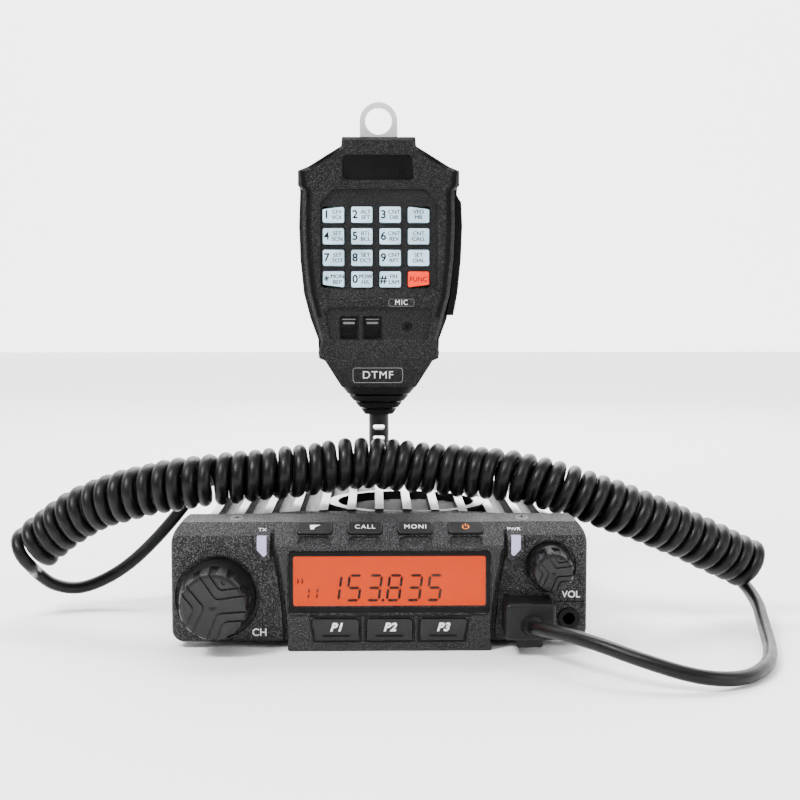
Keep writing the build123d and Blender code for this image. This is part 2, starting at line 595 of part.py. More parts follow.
with BuildPart() as rear_speaker_jack:
    add(front_rod(REAR_JACK_X, REAR_JACK_Z, 4.0, BODY_BACK + 1.2, BODY_BACK - WALL))
    with BuildSketch(front(BODY_BACK + 2.4)):
        with Locations((REAR_JACK_X, REAR_JACK_Z)):
            RegularPolygon(5.2, 6)
    extrude(amount=2.4)
    add(front_box(REAR_JACK_X, REAR_JACK_Z, 8.6, 9.5, BODY_BACK - WALL, BODY_BACK - WALL - 10, 0.6))
    add(front_rod(REAR_JACK_X, REAR_JACK_Z, 1.8, BODY_BACK + 3, BODY_BACK - 12), mode=Mode.SUBTRACT)
save(rear_speaker_jack.part, "rear_speaker_jack")

# ======================= plug =======================

PLUG_FRONT = WING_Y - 0.6
with BuildPart() as plug_connector:
    add(front_box(SOCKET_X, SOCKET_Z, 11.6, 6.9, -71.6, PLUG_FRONT, 0.3))
    add(front_box(SOCKET_X, SOCKET_Z - 4.0, 5.6, 1.4, -73.5, PLUG_FRONT, 0.3))
save(plug_connector.part, "plug_connector")

with BuildPart() as plug_boot:
    add(front_box(SOCKET_X, SOCKET_Z, BOOT_W, BOOT_H, PLUG_FRONT, BOOT_FRONT, 1.8))
    fillet(plug_boot.faces().sort_by(Axis.Y)[0].edges(), radius=1.3)
    # thumb tab over the latch, below the boot
    add(front_box(SOCKET_X, 4.6, 9.0, 3.6, PLUG_FRONT - 0.4, BOOT_FRONT + 3.2, 1.0))
    # round collar where the cord leaves, leaning a little to the right
    with BuildSketch(Plane(origin=(SOCKET_X - 0.3, BOOT_FRONT + 1.5, 11.0), z_dir=(0.36, -0.93, 0.08))):
        Circle(3.5)
    extrude(amount=4.0, taper=4)
save(plug_boot.part, "plug_boot")

# ======================= microphone =======================

SIDE_POINTS = [(14.0, 182.0), (14.3, 178.6), (26.9, 170.8), (30.8, 169.2), (30.8, 163.6)]
FRONT_SIDE = [(29.0, 162.0), (29.2, 148.5), (28.7, 135.5), (27.3, 122.4), (24.8, 112.8), (22.4, 104.6),
              (23.3, 100.0), (23.0, 97.6), (20.7, 96.6), (14.4, 86.4)]
BACK_SIDE = [(30.6, 162.0), (31.1, 148.5), (30.6, 135.5), (29.3, 122.4), (26.8, 112.8), (23.8, 104.6),
             (23.6, 100.0), (23.0, 97.6), (20.7, 96.6), (14.4, 86.4)]


def mic_outline(points):
    """Closed outline from its right-hand half."""
    return points + [(-x, z) for x, z in reversed(points)]


def lower_taper(y_face, y_end):
    """Wedge that thins the case below the keypad towards the cord."""
    out = 6 if y_face > MIC_MID else -6
    with BuildPart() as wedge:
        with BuildSketch(side(-40)):
            with BuildLine():
                Polyline((y_face, 99.0), (y_face + out, 99.0), (y_face + out, 80.0), (y_end, 80.0),
                         (y_end, 86.4), close=True)
            make_face()
        extrude(amount=80)
    return wedge.part


def ptt_outline(grow):
    """Curved push-to-talk bar on the right-hand side."""
    outer = [(30.2, PTT_TOP), (32.0, 157.5), (32.4, 148.5), (31.9, 135.5), (30.6, 122.4), (29.0, PTT_LOW)]
    inner = [(x - 3.2 - grow, z) for x, z in outer]
    outer[0] = (outer[0][0], PTT_TOP + min(grow, 0.3))
    inner[0] = (inner[0][0], PTT_TOP + min(grow, 0.3))
    outer[-1] = (outer[-1][0], PTT_LOW - min(grow, 0.3))
    inner[-1] = (inner[-1][0], PTT_LOW - min(grow, 0.3))
    return [(x + 3 * grow, z) for x, z in outer] + list(reversed(inner))


with BuildPart() as ptt_slot:
    with BuildSketch(front(-0.4)):
        with BuildLine():
            Polyline(*ptt_outline(1.6), close=True)
        make_face()
    extrude(amount=12.2)

with BuildPart() as mic_front_case:
    with BuildSketch(front(MIC_SPLIT)):
        with BuildLine():
            Polyline(*mic_outline(SIDE_POINTS + FRONT_SIDE), close=True)
        make_face()
        fillet(vertices().filter_by(lambda v: abs(v.Z - 182.0) < 0.1), radius=1.2)
    extrude(amount=MIC_SPLIT - MIC_FRONT)
    chamfer(mic_front_case.faces().sort_by(Axis.Y)[0].edges(), length=1.2)
    add(lower_taper(MIC_FRONT, -15.4), mode=Mode.SUBTRACT)
    # inner space
    with BuildSketch(front(MIC_SPLIT)):
        with BuildLine():
            Polyline(*mic_outline([(12, 175), (24.5, 166), (24.5, 125), (20, 104), (18, 99)]), close=True)
        make_face()
    extrude(amount=9.5, mode=Mode.SUBTRACT)
    # dark flat label field
    with BuildSketch(front(MIC_FRONT + 0.5)):
        with BuildLine():
            Polyline((-13.4, 175.3), (12.4, 175.3), (13.6, 165.6), (-14.4, 165.6), close=True)
        make_face()
        fillet(vertices(), radius=1.6)
    extrude(amount=2, mode=Mode.SUBTRACT)
    # sunken keypad with a sloping lower end
    with BuildSketch(front(PAD_FLOOR)):
        with BuildLine():
            Polyline((-17.5, 162.4), (17.5, 162.4), (22.4, 156.5), (22.4, 124.9), (-22.4, 124.9), (-22.4, 156.5),
                     close=True)
        make_face()
    extrude(amount=3, mode=Mode.SUBTRACT)
    with BuildSketch(side(-19)):
        with BuildLine():
            Polyline((MIC_FRONT, 121.0), (PAD_FLOOR, 124.9), (PAD_FLOOR, 126.0), (MIC_FRONT - 2, 126.0),
                     (MIC_FRONT - 2, 121.0), close=True)
        make_face()
    extrude(amount=38, mode=Mode.SUBTRACT)
    # sunken switch field, also sloping at its lower end
    with BuildSketch(front(PAD_FLOOR)):
        with BuildLine():
            Polyline((-19.0, 117.3), (19.0, 117.3), (20.6, 115.0), (18.8, 104.8), (-18.8, 104.8), (-20.6, 115.0),
                     close=True)
        make_face()
    extrude(amount=3, mode=Mode.SUBTRACT)
    with BuildSketch(side(-17.5)):
        with BuildLine():
            Polyline((MIC_FRONT, 101.0), (PAD_FLOOR, 104.8), (PAD_FLOOR, 106.0), (MIC_FRONT - 2, 106.0),
                     (MIC_FRONT - 2, 101.0), close=True)
        make_face()
    extrude(amount=35, mode=Mode.SUBTRACT)
    # key windows
    for x in KEY_X:
        for z in KEY_Z:
            add(front_box(x, z, KEY_W + 2 * GAP, KEY_H + 2 * GAP, -14, -20, 0.8), mode=Mode.SUBTRACT)
    # slide switch wells and sound hole
    for x in SWITCH_X:
        add(front_box(x, SWITCH_Z, SWITCH_W, SWITCH_H, -15.2, -20, 0.3), mode=Mode.SUBTRACT)
    with BuildSketch(front(-20)):
        with Locations((10.9, 109.7)):
            Circle(2.9)
    extrude(amount=-3.4, taper=24, mode=Mode.SUBTRACT)
    add(front_rod(10.9, 109.7, 0.9, -14, -20), mode=Mode.SUBTRACT)
    # small label plates
    add(front_box(8.7, 119.0, 10.2, 3.0, MIC_FRONT + 0.25, MIC_FRONT - 1, 0.8), mode=Mode.SUBTRACT)
    # shoulder insets
    for s in (-1, 1):
        with BuildSketch(front(MIC_FRONT + 1.2)):
            with BuildLine():
                Polyline((s * 14.6, 176.6), (s * 15.6, 178.4), (s * 27.6, 171.0), (s * 25.6, 169.8), close=True)
            make_face()
        extrude(amount=3, mode=Mode.SUBTRACT)
    add(ptt_slot.part, mode=Mode.SUBTRACT)
save(mic_front_case.part, "mic_front_case")

with BuildPart() as mic_back_case:
    with BuildSketch(front(MIC_BACK)):
        with BuildLine():
            Polyline(*mic_outline(SIDE_POINTS + BACK_SIDE), close=True)
        make_face()
        fillet(vertices().filter_by(lambda v: abs(v.Z - 182.0) < 0.1), radius=1.2)
    extrude(amount=MIC_BACK - MIC_SPLIT)
    chamfer(mic_back_case.faces().sort_by(Axis.Y)[-1].edges(), length=2.4)
    add(lower_taper(MIC_BACK, 5.4), mode=Mode.SUBTRACT)
    with BuildSketch(front(MIC_SPLIT - 1)):
        with BuildLine():
            Polyline(*mic_outline([(12, 175), (24.5, 166), (24.5, 125), (20, 104), (18, 99)]), close=True)
        make_face()
    extrude(amount=-12.5, mode=Mode.SUBTRACT)
    # four screw holes
    for x, z in ((-18, 160), (18, 160), (-14, 103), (14, 103)):
        add(front_rod(x, z, 2.6, MIC_BACK + 1, MIC_BACK - 1.6), mode=Mode.SUBTRACT)
    # finger grooves across the back
    for z in (150, 146, 142, 138, 134, 130):
        add(front_box(0, z, 34, 1.6, MIC_BACK + 1, MIC_BACK - 0.7, 0.7), mode=Mode.SUBTRACT)
    add(ptt_slot.part, mode=Mode.SUBTRACT)
save(mic_back_case.part, "mic_back_case")

with BuildPart() as mic_screws:
    for x, z in ((-18, 160), (18, 160), (-14, 103), (14, 103)):
        add(front_rod(x, z, 2.45, MIC_BACK - 0.4, MIC_BACK - 1.6))
        add(front_box(x, z, 2.6, 0.6, MIC_BACK + 1, MIC_BACK - 0.8), mode=Mode.SUBTRACT)
        add(front_box(x, z, 0.6, 2.6, MIC_BACK + 1, MIC_BACK - 0.8), mode=Mode.SUBTRACT)
save(mic_screws.part, "mic_screws")

KEY_NAMES = [["key_1", "key_2", "key_3", "key_vfo"], ["key_4", "key_5", "key_6", "key_call"],
             ["key_7", "key_8", "key_9", "key_dial"], ["key_star", "key_0", "key_hash", "key_func"]]


def key_outline(row, column):
    """Key face; the outer corner of each corner key is cut off at a slant."""
    w, h = KEY_W / 2, KEY_H / 2
    x, z = KEY_X[column], KEY_Z[row]
    cut = 1.0
    left = cut if column == 0 else 0.0
    right = cut if column == 3 else 0.0
    up = 1 if row == 0 else 0
    down = 1 if row == 3 else 0
    return [(x - w, z + h - up * left), (x + w, z + h - up * right),
            (x + w, z - h + down * right), (x - w, z - h + down * left)]


for row in range(4):
    for column in range(4):
        with BuildPart() as key:
            with BuildSketch(front(KEY_BACK)):
                with BuildLine():
                    Polyline(*key_outline(row, column), close=True)
                make_face()
                fillet(vertices(), radius=0.7)
            extrude(amount=KEY_BACK - KEY_FACE)
            fillet(key.faces().sort_by(Axis.Y)[0].edges(), radius=0.3)
        save(key.part, KEY_NAMES[row][column])

with BuildPart() as ptt_bar:
    with BuildSketch(front(-0.8)):
        with BuildLine():
            Polyline(*ptt_outline(0), close=True)
        make_face()
    extrude(amount=11.4)
    chamfer(ptt_bar.faces().filter_by(Axis.Y).edges(), length=0.5)
save(ptt_bar.part, "ptt_bar")

for x, name in zip(SWITCH_X, ("lock_switch", "dtmf_switch")):
    with BuildPart() as slider:
        add(front_box(x, SWITCH_Z + 1.9, SWITCH_W - 0.4, 3.4, -15.3, -18.0, 0.3))
        add(front_box(x, SWITCH_Z + 1.9, SWITCH_W - 1.6, 1.0, -17.9, -18.6, 0.2))
    save(slider.part, name)

BOOT_RINGS = [(86.4, 14.6, 83.4, 12.2), (82.6, 11.5, 80.6, 9.9), (79.8, 9.1, 77.9, 7.6), (77.1, 6.9, 75.2, 5.5)]
with BuildPart() as mic_strain_relief:
    # core, then four grooved rings that get smaller towards the neck
    with BuildSketch(Plane.XY.offset(86.4)):
        with Locations((0, MIC_MID)):
            RectangleRounded(24, 15, 4)
    with BuildSketch(Plane.XY.offset(75.2)):
        with Locations((0, MIC_MID)):
            RectangleRounded(2 * NECK_R, 2 * NECK_R, 3.8)
    loft()
    for z_top, w_top, z_low, w_low in BOOT_RINGS:
        with BuildSketch(Plane.XY.offset(z_top)):
            with Locations((0, MIC_MID)):
                RectangleRounded(2 * w_top, 1.35 * w_top + 1.6, 0.45 * w_top)
        with BuildSketch(Plane.XY.offset(z_low)):
            with Locations((0, MIC_MID)):
                RectangleRounded(2 * w_low, 1.35 * w_low + 1.6, 0.45 * w_low)
        loft()
    with BuildSketch(Plane.XY.offset(NECK_LOW)):
        with Locations((0, MIC_MID)):
            Circle(NECK_R)
    extrude(amount=14)
    # bending slots through the neck
    for z in (70.0, 65.6):
        add(front_box(0, z, 4.6, 2.0, 0, -20, 0.9), mode=Mode.SUBTRACT)
save(mic_strain_relief.part, "mic_strain_relief")

with BuildPart() as mic_hang_tab:
    with BuildSketch(front(MIC_MID + 1.1)):
        with Locations((0, TAB_Z)):
            Circle(TAB_W / 2)
        with Locations((0, (TAB_Z + 182.0) / 2)):
            Rectangle(TAB_W, TAB_Z - 182.0)
        with Locations((0, TAB_Z)):
            Circle(TAB_HOLE_R, mode=Mode.SUBTRACT)
    extrude(amount=2.2)
    outer_rim = mic_hang_tab.edges().filter_by(GeomType.CIRCLE).filter_by(lambda e: e.radius > TAB_HOLE_R + 1)
    fillet(outer_rim, radius=0.35)
save(mic_hang_tab.part, "mic_hang_tab")

with BuildPart() as mic_circuit_board:
    add(front_box(0, 137.5, 40, 62, -10.6, -12.2, 1.5))
    add(front_box(-8, 150, 14, 10, -8.4, -10.6, 0.5))
save(mic_circuit_board.part, "mic_circuit_board")

with BuildPart() as mic_capsule:
    add(front_rod(10.9, 109.7, 2.9, -12.4, -15.4))
save(mic_capsule.part, "mic_capsule")

# ======================= cord =======================
# One continuous curly cord: a plain lead from the plug, the coil, and a plain lead to the microphone.

PLUG_LEAD = [(52.2, -99.2, 11.3), (58.0, -110.5, 12.6), (68.0, -122.5, 12.2), (82.0, -132.5, 8.8),
             (98.5, -137.5, 4.6), (114.0, -132.5, 2.7), (125.5, -117.0, 2.8), (132.3, -96.0, 2.7),
             (136.2, -74.0, 4.3), (138.8, -56.5, 7.3), (141.2, -45.5, 9.6), (141.0, -35.0, 13.0)]
COIL_AXIS = [(-135.5, -30.5, 22.0), (-123.0, -33.5, 33.2), (-108.5, -37.5, 43.0), (-92.0, -42.5, 48.8),
             (-74.0, -46.5, 53.0), (-50.0, -48.0, 55.8), (-26.0, -44.0, 57.5), (-7.0, -40.5, 60.4),
             (13.0, -39.5, 58.1), (33.0, -42.0, 56.7), (50.0, -46.5, 55.6), (66.0, -49.5, 51.8),
             (84.0, -48.5, 45.6), (103.0, -44.5, 38.1), (121.0, -40.0, 29.6), (138.4, -35.0, 20.8),
             (147.0, -32.0, 16.6)]
MIC_LEAD = [(0.0, -5.0, 62.0), (0.0, -5.0, 55.8), (-5.2, -4.6, 50.9), (-14.5, -3.9, 49.3), (-31.0, -3.0, 49.8),
            (-48.0, -3.8, 51.8), (-62.5, -5.2, 52.0), (-73.5, -6.2, 43.4), (-81.5, -6.8, 33.2),
            (-89.5, -8.0, 24.2), (-98.5, -10.2, 15.9), (-108.0, -12.6, 10.2), (-117.4, -15.6, 7.4),
            (-125.9, -19.2, 9.6), (-131.6, -22.5, 15.0), (-136.0, -25.5, 21.5), (-138.0, -28.0, 28.0)]


def cord_radii(name, points, diameter):
    """As large an arc at each point as its two runs allow."""
    runs = [Vector(*b) - Vector(*a) for a, b in zip(points, points[1:])]
    radii = []
    for before, after in zip(runs, runs[1:]):
        turn = math.radians(before.get_angle(after))
        radii.append(0.45 * min(before.length, after.length) / math.tan(turn / 2))
    print(name, "runs", [round(r.length, 1) for r in runs])
    print(name, "radii", [round(r, 1) for r in radii], "diameter", diameter)
    return radii


def cord_tube(name, points, diameter):
    """Tube along straight runs joined by tangent arcs."""
    radii = cord_radii(name, points, diameter)
    with BuildPart() as tube:
        with BuildLine() as path:
            FilletPolyline(*points, radius=radii)
        with BuildSketch(Plane(origin=path.line @ 0, z_dir=path.line % 0)):
            Circle(diameter / 2)
        sweep()
    length = sum(edge.length for edge in path.edges())
    print(name, "length", round(length, 1), "volume ratio",
          round(tube.part.volume / (math.pi * diameter ** 2 / 4 * length), 4))
    return tube.part


save(cord_tube("cord_lead_plug", PLUG_LEAD, CORD_D), "cord_lead_plug")
save(cord_tube("cord_coil", COIL_AXIS, COIL_D), "cord_coil")
save(cord_tube("cord_lead_mic", MIC_LEAD, CORD_D), "cord_lead_mic")
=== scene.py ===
import json
import math

import bpy
import bmesh
from mathutils import Matrix, Vector


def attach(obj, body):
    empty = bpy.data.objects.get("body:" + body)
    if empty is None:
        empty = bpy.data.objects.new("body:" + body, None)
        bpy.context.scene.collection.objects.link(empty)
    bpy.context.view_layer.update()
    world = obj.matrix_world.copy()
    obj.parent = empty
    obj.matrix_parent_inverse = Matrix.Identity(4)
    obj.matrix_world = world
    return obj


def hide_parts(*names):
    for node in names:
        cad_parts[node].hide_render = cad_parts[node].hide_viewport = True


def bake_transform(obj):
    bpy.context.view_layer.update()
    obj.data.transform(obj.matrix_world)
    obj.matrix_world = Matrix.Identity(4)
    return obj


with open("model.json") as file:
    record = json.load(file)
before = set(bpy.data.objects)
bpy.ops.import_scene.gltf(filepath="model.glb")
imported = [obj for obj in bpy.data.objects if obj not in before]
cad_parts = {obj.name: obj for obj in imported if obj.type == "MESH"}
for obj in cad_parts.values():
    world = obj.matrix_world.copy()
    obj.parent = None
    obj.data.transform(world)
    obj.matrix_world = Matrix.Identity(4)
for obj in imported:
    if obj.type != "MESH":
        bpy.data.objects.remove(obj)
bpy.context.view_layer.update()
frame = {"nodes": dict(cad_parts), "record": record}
MM = 0.001
TAU = 2 * math.pi

# measures shared with the CAD model, in mm
BULGE_X = 3.4
P_KEY_X, P_KEY_Z = (-14.9, BULGE_X, 21.7), 7.8
LAMP_X, LAMP_Z = (-40.5, 47.0), 36.4
KEY_X = (-17.3, -6.45, 4.4, 15.25)
KEY_Z = (152.5, 144.3, 136.1, 127.9)
KEY_FACE, MIC_FACE = -19.02, -18.99
SWITCH_X, SWITCH_Z = (-11.5, -2.45), 109.3


# ======================= camera, floor and light =======================

FOCAL_PX, FRAME_PX, SENSOR_MM = 1436.0, 800.0, 36.0
CAMERA_PLACE = (-0.0015, -0.571, 0.125)
CAMERA_DOWN_DEG, CAMERA_RIGHT_DEG = 4.5, 1.0
FLOOR_HALF = 12.0
BACKDROP_Y, BACKDROP_LOW, BACKDROP_TOP = 2.2, -0.01, 6.0
BACKDROP_GLOW, WORLD_GLOW = 2.6, 0.62
WHITE = (1, 1, 1, 1)
# name, place, target, size, watts
LIGHTS = [
    ("key", (-0.45, -0.50, 0.75), (0, -0.03, 0.04), (0.25, 0.22), 13.0),
    ("fill", (0.75, -0.55, 0.35), (0, -0.05, 0.06), (0.3, 0.4), 4.0),
    ("top", (0.0, 0.55, 0.85), (0, -0.02, 0.04), (0.7, 0.3), 10.0),
    ("rim", (0.15, 0.8, 0.5), (0, 0, 0.08), (0.6, 0.3), 4.0),
    ("floor_back", (0.0, 1.35, 1.6), (0, 1.35, 0), (4.0, 1.2), 48.0),
    ("floor_front", (0.0, -1.0, 1.6), (0, -0.25, 0), (1.6, 1.0), 14.0),
]


def linked(name, data):
    """New object in the scene that shows this data."""
    made = bpy.data.objects.new(name, data)
    bpy.context.scene.collection.objects.link(made)
    return made


def make_camera():
    data = bpy.data.cameras.new("camera")
    data.sensor_width = SENSOR_MM
    data.lens = SENSOR_MM * FOCAL_PX / FRAME_PX
    data.clip_start, data.clip_end = 0.02, 20
    camera = linked("camera", data)
    camera.location = CAMERA_PLACE
    camera.rotation_euler = (math.radians(90 - CAMERA_DOWN_DEG), 0, math.radians(-CAMERA_RIGHT_DEG))
    bpy.context.scene.camera = camera


def area_light(name, place, target, size, power):
    data = bpy.data.lights.new(name, "AREA")
    data.shape = "RECTANGLE"
    data.size, data.size_y = size
    data.energy = power
    lamp = linked(name, data)
    lamp.location = place
    lamp.rotation_euler = (Vector(target) - Vector(place)).to_track_quat("-Z", "Y").to_euler()


def paper_sheet(name, corners, color, **inputs):
    """One large four-cornered sheet of plain paper."""
    mesh = bpy.data.meshes.new(name)
    mesh.from_pydata(corners, [], [(0, 1, 2, 3)])
    paper = bpy.data.materials.new(f"{name}_paper")
    paper.use_nodes = True
    shader = paper.node_tree.nodes["Principled BSDF"]
    shader.inputs["Base Color"].default_value = color
    for socket, value in inputs.items():
        shader.inputs[socket.replace("_", " ")].default_value = value
    mesh.materials.append(paper)
    return linked(name, mesh)


def make_stage():
    r = FLOOR_HALF
    floor = paper_sheet("floor", [(-r, -r, 0), (r, -r, 0), (r, r, 0), (-r, r, 0)],
                        (0.93, 0.93, 0.93, 1), Roughness=0.9)
    wall = ((-r, BACKDROP_LOW), (r, BACKDROP_LOW), (r, BACKDROP_TOP), (-r, BACKDROP_TOP))
    backdrop = paper_sheet("backdrop", [(x, BACKDROP_Y, z) for x, z in wall], (0.9, 0.9, 0.9, 1),
                           Emission_Color=WHITE, Emission_Strength=BACKDROP_GLOW)
    world = bpy.data.worlds.new("studio")
    world.use_nodes = True
    background = world.node_tree.nodes["Background"]
    background.inputs["Color"].default_value = WHITE
    background.inputs["Strength"].default_value = WORLD_GLOW
    bpy.context.scene.world = world
    for light in LIGHTS:
        area_light(*light)


# ======================= materials =======================

class Shade:
    """A Principled material with its texture nodes, in object coordinates (metres)."""

    def __init__(self, name, color, rough, metal=0.0, **constant):
        self.material = bpy.data.materials.new(name)
        self.material.use_nodes = True
        self.tree = self.material.node_tree
        self.shader = self.tree.nodes["Principled BSDF"]
        self.shader.inputs["Base Color"].default_value = (*color, 1)
        self.shader.inputs["Roughness"].default_value = rough
        self.shader.inputs["Metallic"].default_value = metal
        for socket, value in constant.items():
            self.shader.inputs[socket.replace("_", " ")].default_value = value
        self.place = self.tree.nodes.new("ShaderNodeTexCoord").outputs["Object"]

    def link(self, a, b):
        self.tree.links.new(a, b)

    def node(self, kind, **settings):
        made = self.tree.nodes.new(kind)
        for key, value in settings.items():
            setattr(made, key, value)
        return made

    def noise(self, scale, detail=3.0, stretch=None, distortion=0.0):
        """Noise whose grain is about 1/scale metres; stretch scales the axes."""
        vector = self.place
        if stretch:
            mapping = self.node("ShaderNodeMapping")
            mapping.inputs["Scale"].default_value = stretch
            self.link(vector, mapping.inputs["Vector"])
            vector = mapping.outputs["Vector"]
        noise = self.node("ShaderNodeTexNoise")
        noise.inputs["Scale"].default_value = scale
        noise.inputs["Detail"].default_value = detail
        noise.inputs["Distortion"].default_value = distortion
        self.link(vector, noise.inputs["Vector"])
        return noise.outputs["Fac"]

    def ramp(self, value, stops):
        ramp = self.node("ShaderNodeValToRGB")
        elements = ramp.color_ramp.elements
        while len(elements) < len(stops):
            elements.new(0.5)
        for element, (at, color) in zip(elements, stops):
            element.position = at
            element.color = (*color, 1) if len(color) == 3 else color
        self.link(value, ramp.inputs["Fac"])
        return ramp.outputs["Color"]

    def math(self, kind, a, b):
        node = self.node("ShaderNodeMath", operation=kind)
        for socket, value in zip(node.inputs, (a, b)):
            if isinstance(value, (int, float)):
                socket.default_value = value
            else:
                self.link(value, socket)
        return node.outputs[0]

    def mix(self, factor, a, b):
        node = self.node("ShaderNodeMix", data_type="RGBA")
        self.link(factor, node.inputs["Factor"])
        for socket, value in ((node.inputs["A"], a), (node.inputs["B"], b)):
            if isinstance(value, tuple):
                socket.default_value = (*value, 1)
            else:
                self.link(value, socket)
        return node.outputs["Result"]

    def color(self, socket):
        self.link(socket, self.shader.inputs["Base Color"])

    def roughness(self, value, low, high):
        ramp = self.ramp(value, [(0.3, (low,) * 3), (0.7, (high,) * 3)])
        self.link(ramp, self.shader.inputs["Roughness"])

    def bump(self, value, strength, distance):
        bump = self.node("ShaderNodeBump")
        bump.inputs["Strength"].default_value = strength
        bump.inputs["Distance"].default_value = distance
        self.link(value, bump.inputs["Height"])
        self.link(bump.outputs["Normal"], self.shader.inputs["Normal"])


def scaled(color, factor):
    return tuple(min(1, c * factor) for c in color)


def spark_plastic(name, base, painted_glint, grain=2600.0, amount=0.62, rough=(0.42, 0.62)):
    """Spark-eroded moulded plastic: a fine sandy bump, coloured from the same noise with paler specks as
    painted glints on the grain and darker spots as painted shade in its pits.
    """
    shade = Shade(name, base, 0.5, Specular_IOR_Level=0.15)
    fine = shade.noise(grain, 4)
    # painted light: the colour follows the bump noise, paler where the grain stands up (painted glints) and
    # darker where it dips (painted shade)
    stops = [(0.3, scaled(base, 0.45)), (amount - 0.07, base), (amount + 0.12, painted_glint)]
    shade.color(shade.ramp(fine, stops))
    shade.roughness(shade.noise(140, 4), *rough)
    shade.bump(fine, 0.45, 0.00013)
    return shade.material


def smooth_plastic(name, base, rough=(0.28, 0.42), grain=1500.0, bump=0.12, **constant):
    """Moulded plastic or rubber with faint flow marks and dust."""
    constant.setdefault("Specular_IOR_Level", 0.1)
    shade = Shade(name, base, 0.4, **constant)
    cloud = shade.noise(90, 5)
    shade.color(shade.ramp(cloud, [(0.25, scaled(base, 0.75)), (0.75, scaled(base, 1.3))]))
    shade.roughness(shade.noise(240, 5), *rough)
    shade.bump(shade.noise(grain, 3), bump, 0.0001)
    return shade.material


def metal(name, base, rough=(0.2, 0.38), stretch=(1, 1, 1), scale=900.0, bump=0.1):
    """Plated or brushed metal; stretch gives the brushing its direction."""
    shade = Shade(name, base, 0.3, 1.0)
    lines = shade.noise(scale, 4, stretch)
    shade.color(shade.ramp(lines, [(0.2, scaled(base, 0.72)), (0.8, base)]))
    shade.roughness(lines, *rough)
    shade.bump(lines, bump, 0.00008)
    return shade.material


FLANGE_BACK = -62.4     # where the flat flange behind the front panel ends, in mm
RIDGE_FROM = 41.9       # height above which a face turned up is a ridge top, in mm


def heatsink_material():
    """Black casting whose ridge tops are bare; the groove floors carry a thin grey coat."""
    shade = Shade("casting_black", (0.006, 0.006, 0.007), 0.5, Specular_IOR_Level=0.12)
    split = shade.node("ShaderNodeSeparateXYZ")
    shade.link(shade.place, split.inputs[0])
    normal = shade.node("ShaderNodeSeparateXYZ")
    shade.link(shade.node("ShaderNodeNewGeometry").outputs["Normal"], normal.inputs[0])
    facing_up = shade.math("GREATER_THAN", normal.outputs["Z"], 0.8)
    behind_flange = shade.math("GREATER_THAN", split.outputs["Y"], FLANGE_BACK * MM)
    high = shade.math("GREATER_THAN", split.outputs["Z"], RIDGE_FROM * MM)
    worn = shade.noise(300, 4)
    brushed = shade.noise(1400, 4, (1, 0.04, 1))
    top = shade.math("MULTIPLY", shade.math("MULTIPLY", facing_up, high), behind_flange)
    floor = shade.math("MULTIPLY", facing_up, behind_flange)
    black = shade.ramp(worn, [(0.3, (0.0035, 0.0035, 0.004)), (0.8, (0.009, 0.009, 0.0095))])
    grey = shade.ramp(brushed, [(0.2, (0.010, 0.010, 0.011)), (0.8, (0.032, 0.032, 0.033))])
    bare = shade.ramp(brushed, [(0.15, (0.42, 0.42, 0.43)), (0.85, (0.66, 0.66, 0.66))])
    shade.color(shade.mix(top, shade.mix(floor, black, grey), bare))
    shade.link(shade.math("MULTIPLY", top, 0.85), shade.shader.inputs["Metallic"])
    shade.roughness(brushed, 0.34, 0.55)
    shade.bump(shade.noise(1800, 4), 0.35, 0.00012)
    return shade.material


def cloth_material():
    """Open woven speaker cloth."""
    shade = Shade("speaker_weave", (0.03, 0.03, 0.032), 0.9, Sheen_Weight=0.4)
    waves = []
    for turn in (45, -45):
        mapping = shade.node("ShaderNodeMapping")
        mapping.inputs["Rotation"].default_value = (0, 0, math.radians(turn))
        shade.link(shade.place, mapping.inputs["Vector"])
        wave = shade.node("ShaderNodeTexWave")
        wave.inputs["Scale"].default_value = 420
        wave.inputs["Distortion"].default_value = 0.6
        shade.link(mapping.outputs["Vector"], wave.inputs["Vector"])
        waves.append(wave.outputs["Fac"])
    weave = shade.math("MULTIPLY", *waves)
    shade.color(shade.ramp(weave, [(0.1, (0.004, 0.004, 0.004)), (0.8, (0.035, 0.035, 0.037))]))
    shade.bump(weave, 0.9, 0.0003)
    return shade.material


def glow_material(name, color, strength, spread=0.0):
    """Backlit face, with the diffuser's faint mottling."""
    shade = Shade(name, color, 0.5, Specular_IOR_Level=0.05)
    mottle = shade.noise(160, 2)
    shaded = shade.ramp(mottle, [(0.3, scaled(color, 1 - spread)), (0.7, color)])
    blend = shade.ramp(mottle, [(0, (0.4,) * 3), (1, (0.6,) * 3)])
    shade.color(shade.mix(blend, (0.004, 0.0, 0.0), (0.12, 0.006, 0.0)))
    shade.link(shaded, shade.shader.inputs["Emission Color"])
    shade.shader.inputs["Emission Strength"].default_value = strength
    return shade.material


def clear_material(name, color, rough, weight, alpha=1.0):
    """Clear or milky plastic."""
    shade = Shade(name, color, rough, Transmission_Weight=weight, IOR=1.49, Alpha=alpha,
                  Specular_IOR_Level=0.2)
    shade.roughness(shade.noise(400, 4), rough * 0.7, min(1, rough * 1.6))
    shade.bump(shade.noise(500, 3), 0.06, 0.0001)
    return shade.material


def board_material():
    """Green solder mask with thin paler green tracks."""
    shade = Shade("solder_mask", (0.01, 0.11, 0.045), 0.35)
    tracks = shade.node("ShaderNodeTexBrick")
    tracks.inputs["Scale"].default_value = 160
    tracks.inputs["Mortar Size"].default_value = 0.03
    tracks.inputs["Color1"].default_value = (0.008, 0.10, 0.04, 1)
    tracks.inputs["Color2"].default_value = (0.012, 0.13, 0.05, 1)
    tracks.inputs["Mortar"].default_value = (0.05, 0.20, 0.07, 1)
    shade.link(shade.place, tracks.inputs["Vector"])
    shade.color(tracks.outputs["Color"])
    shade.roughness(shade.noise(300, 3), 0.25, 0.45)
    return shade.material


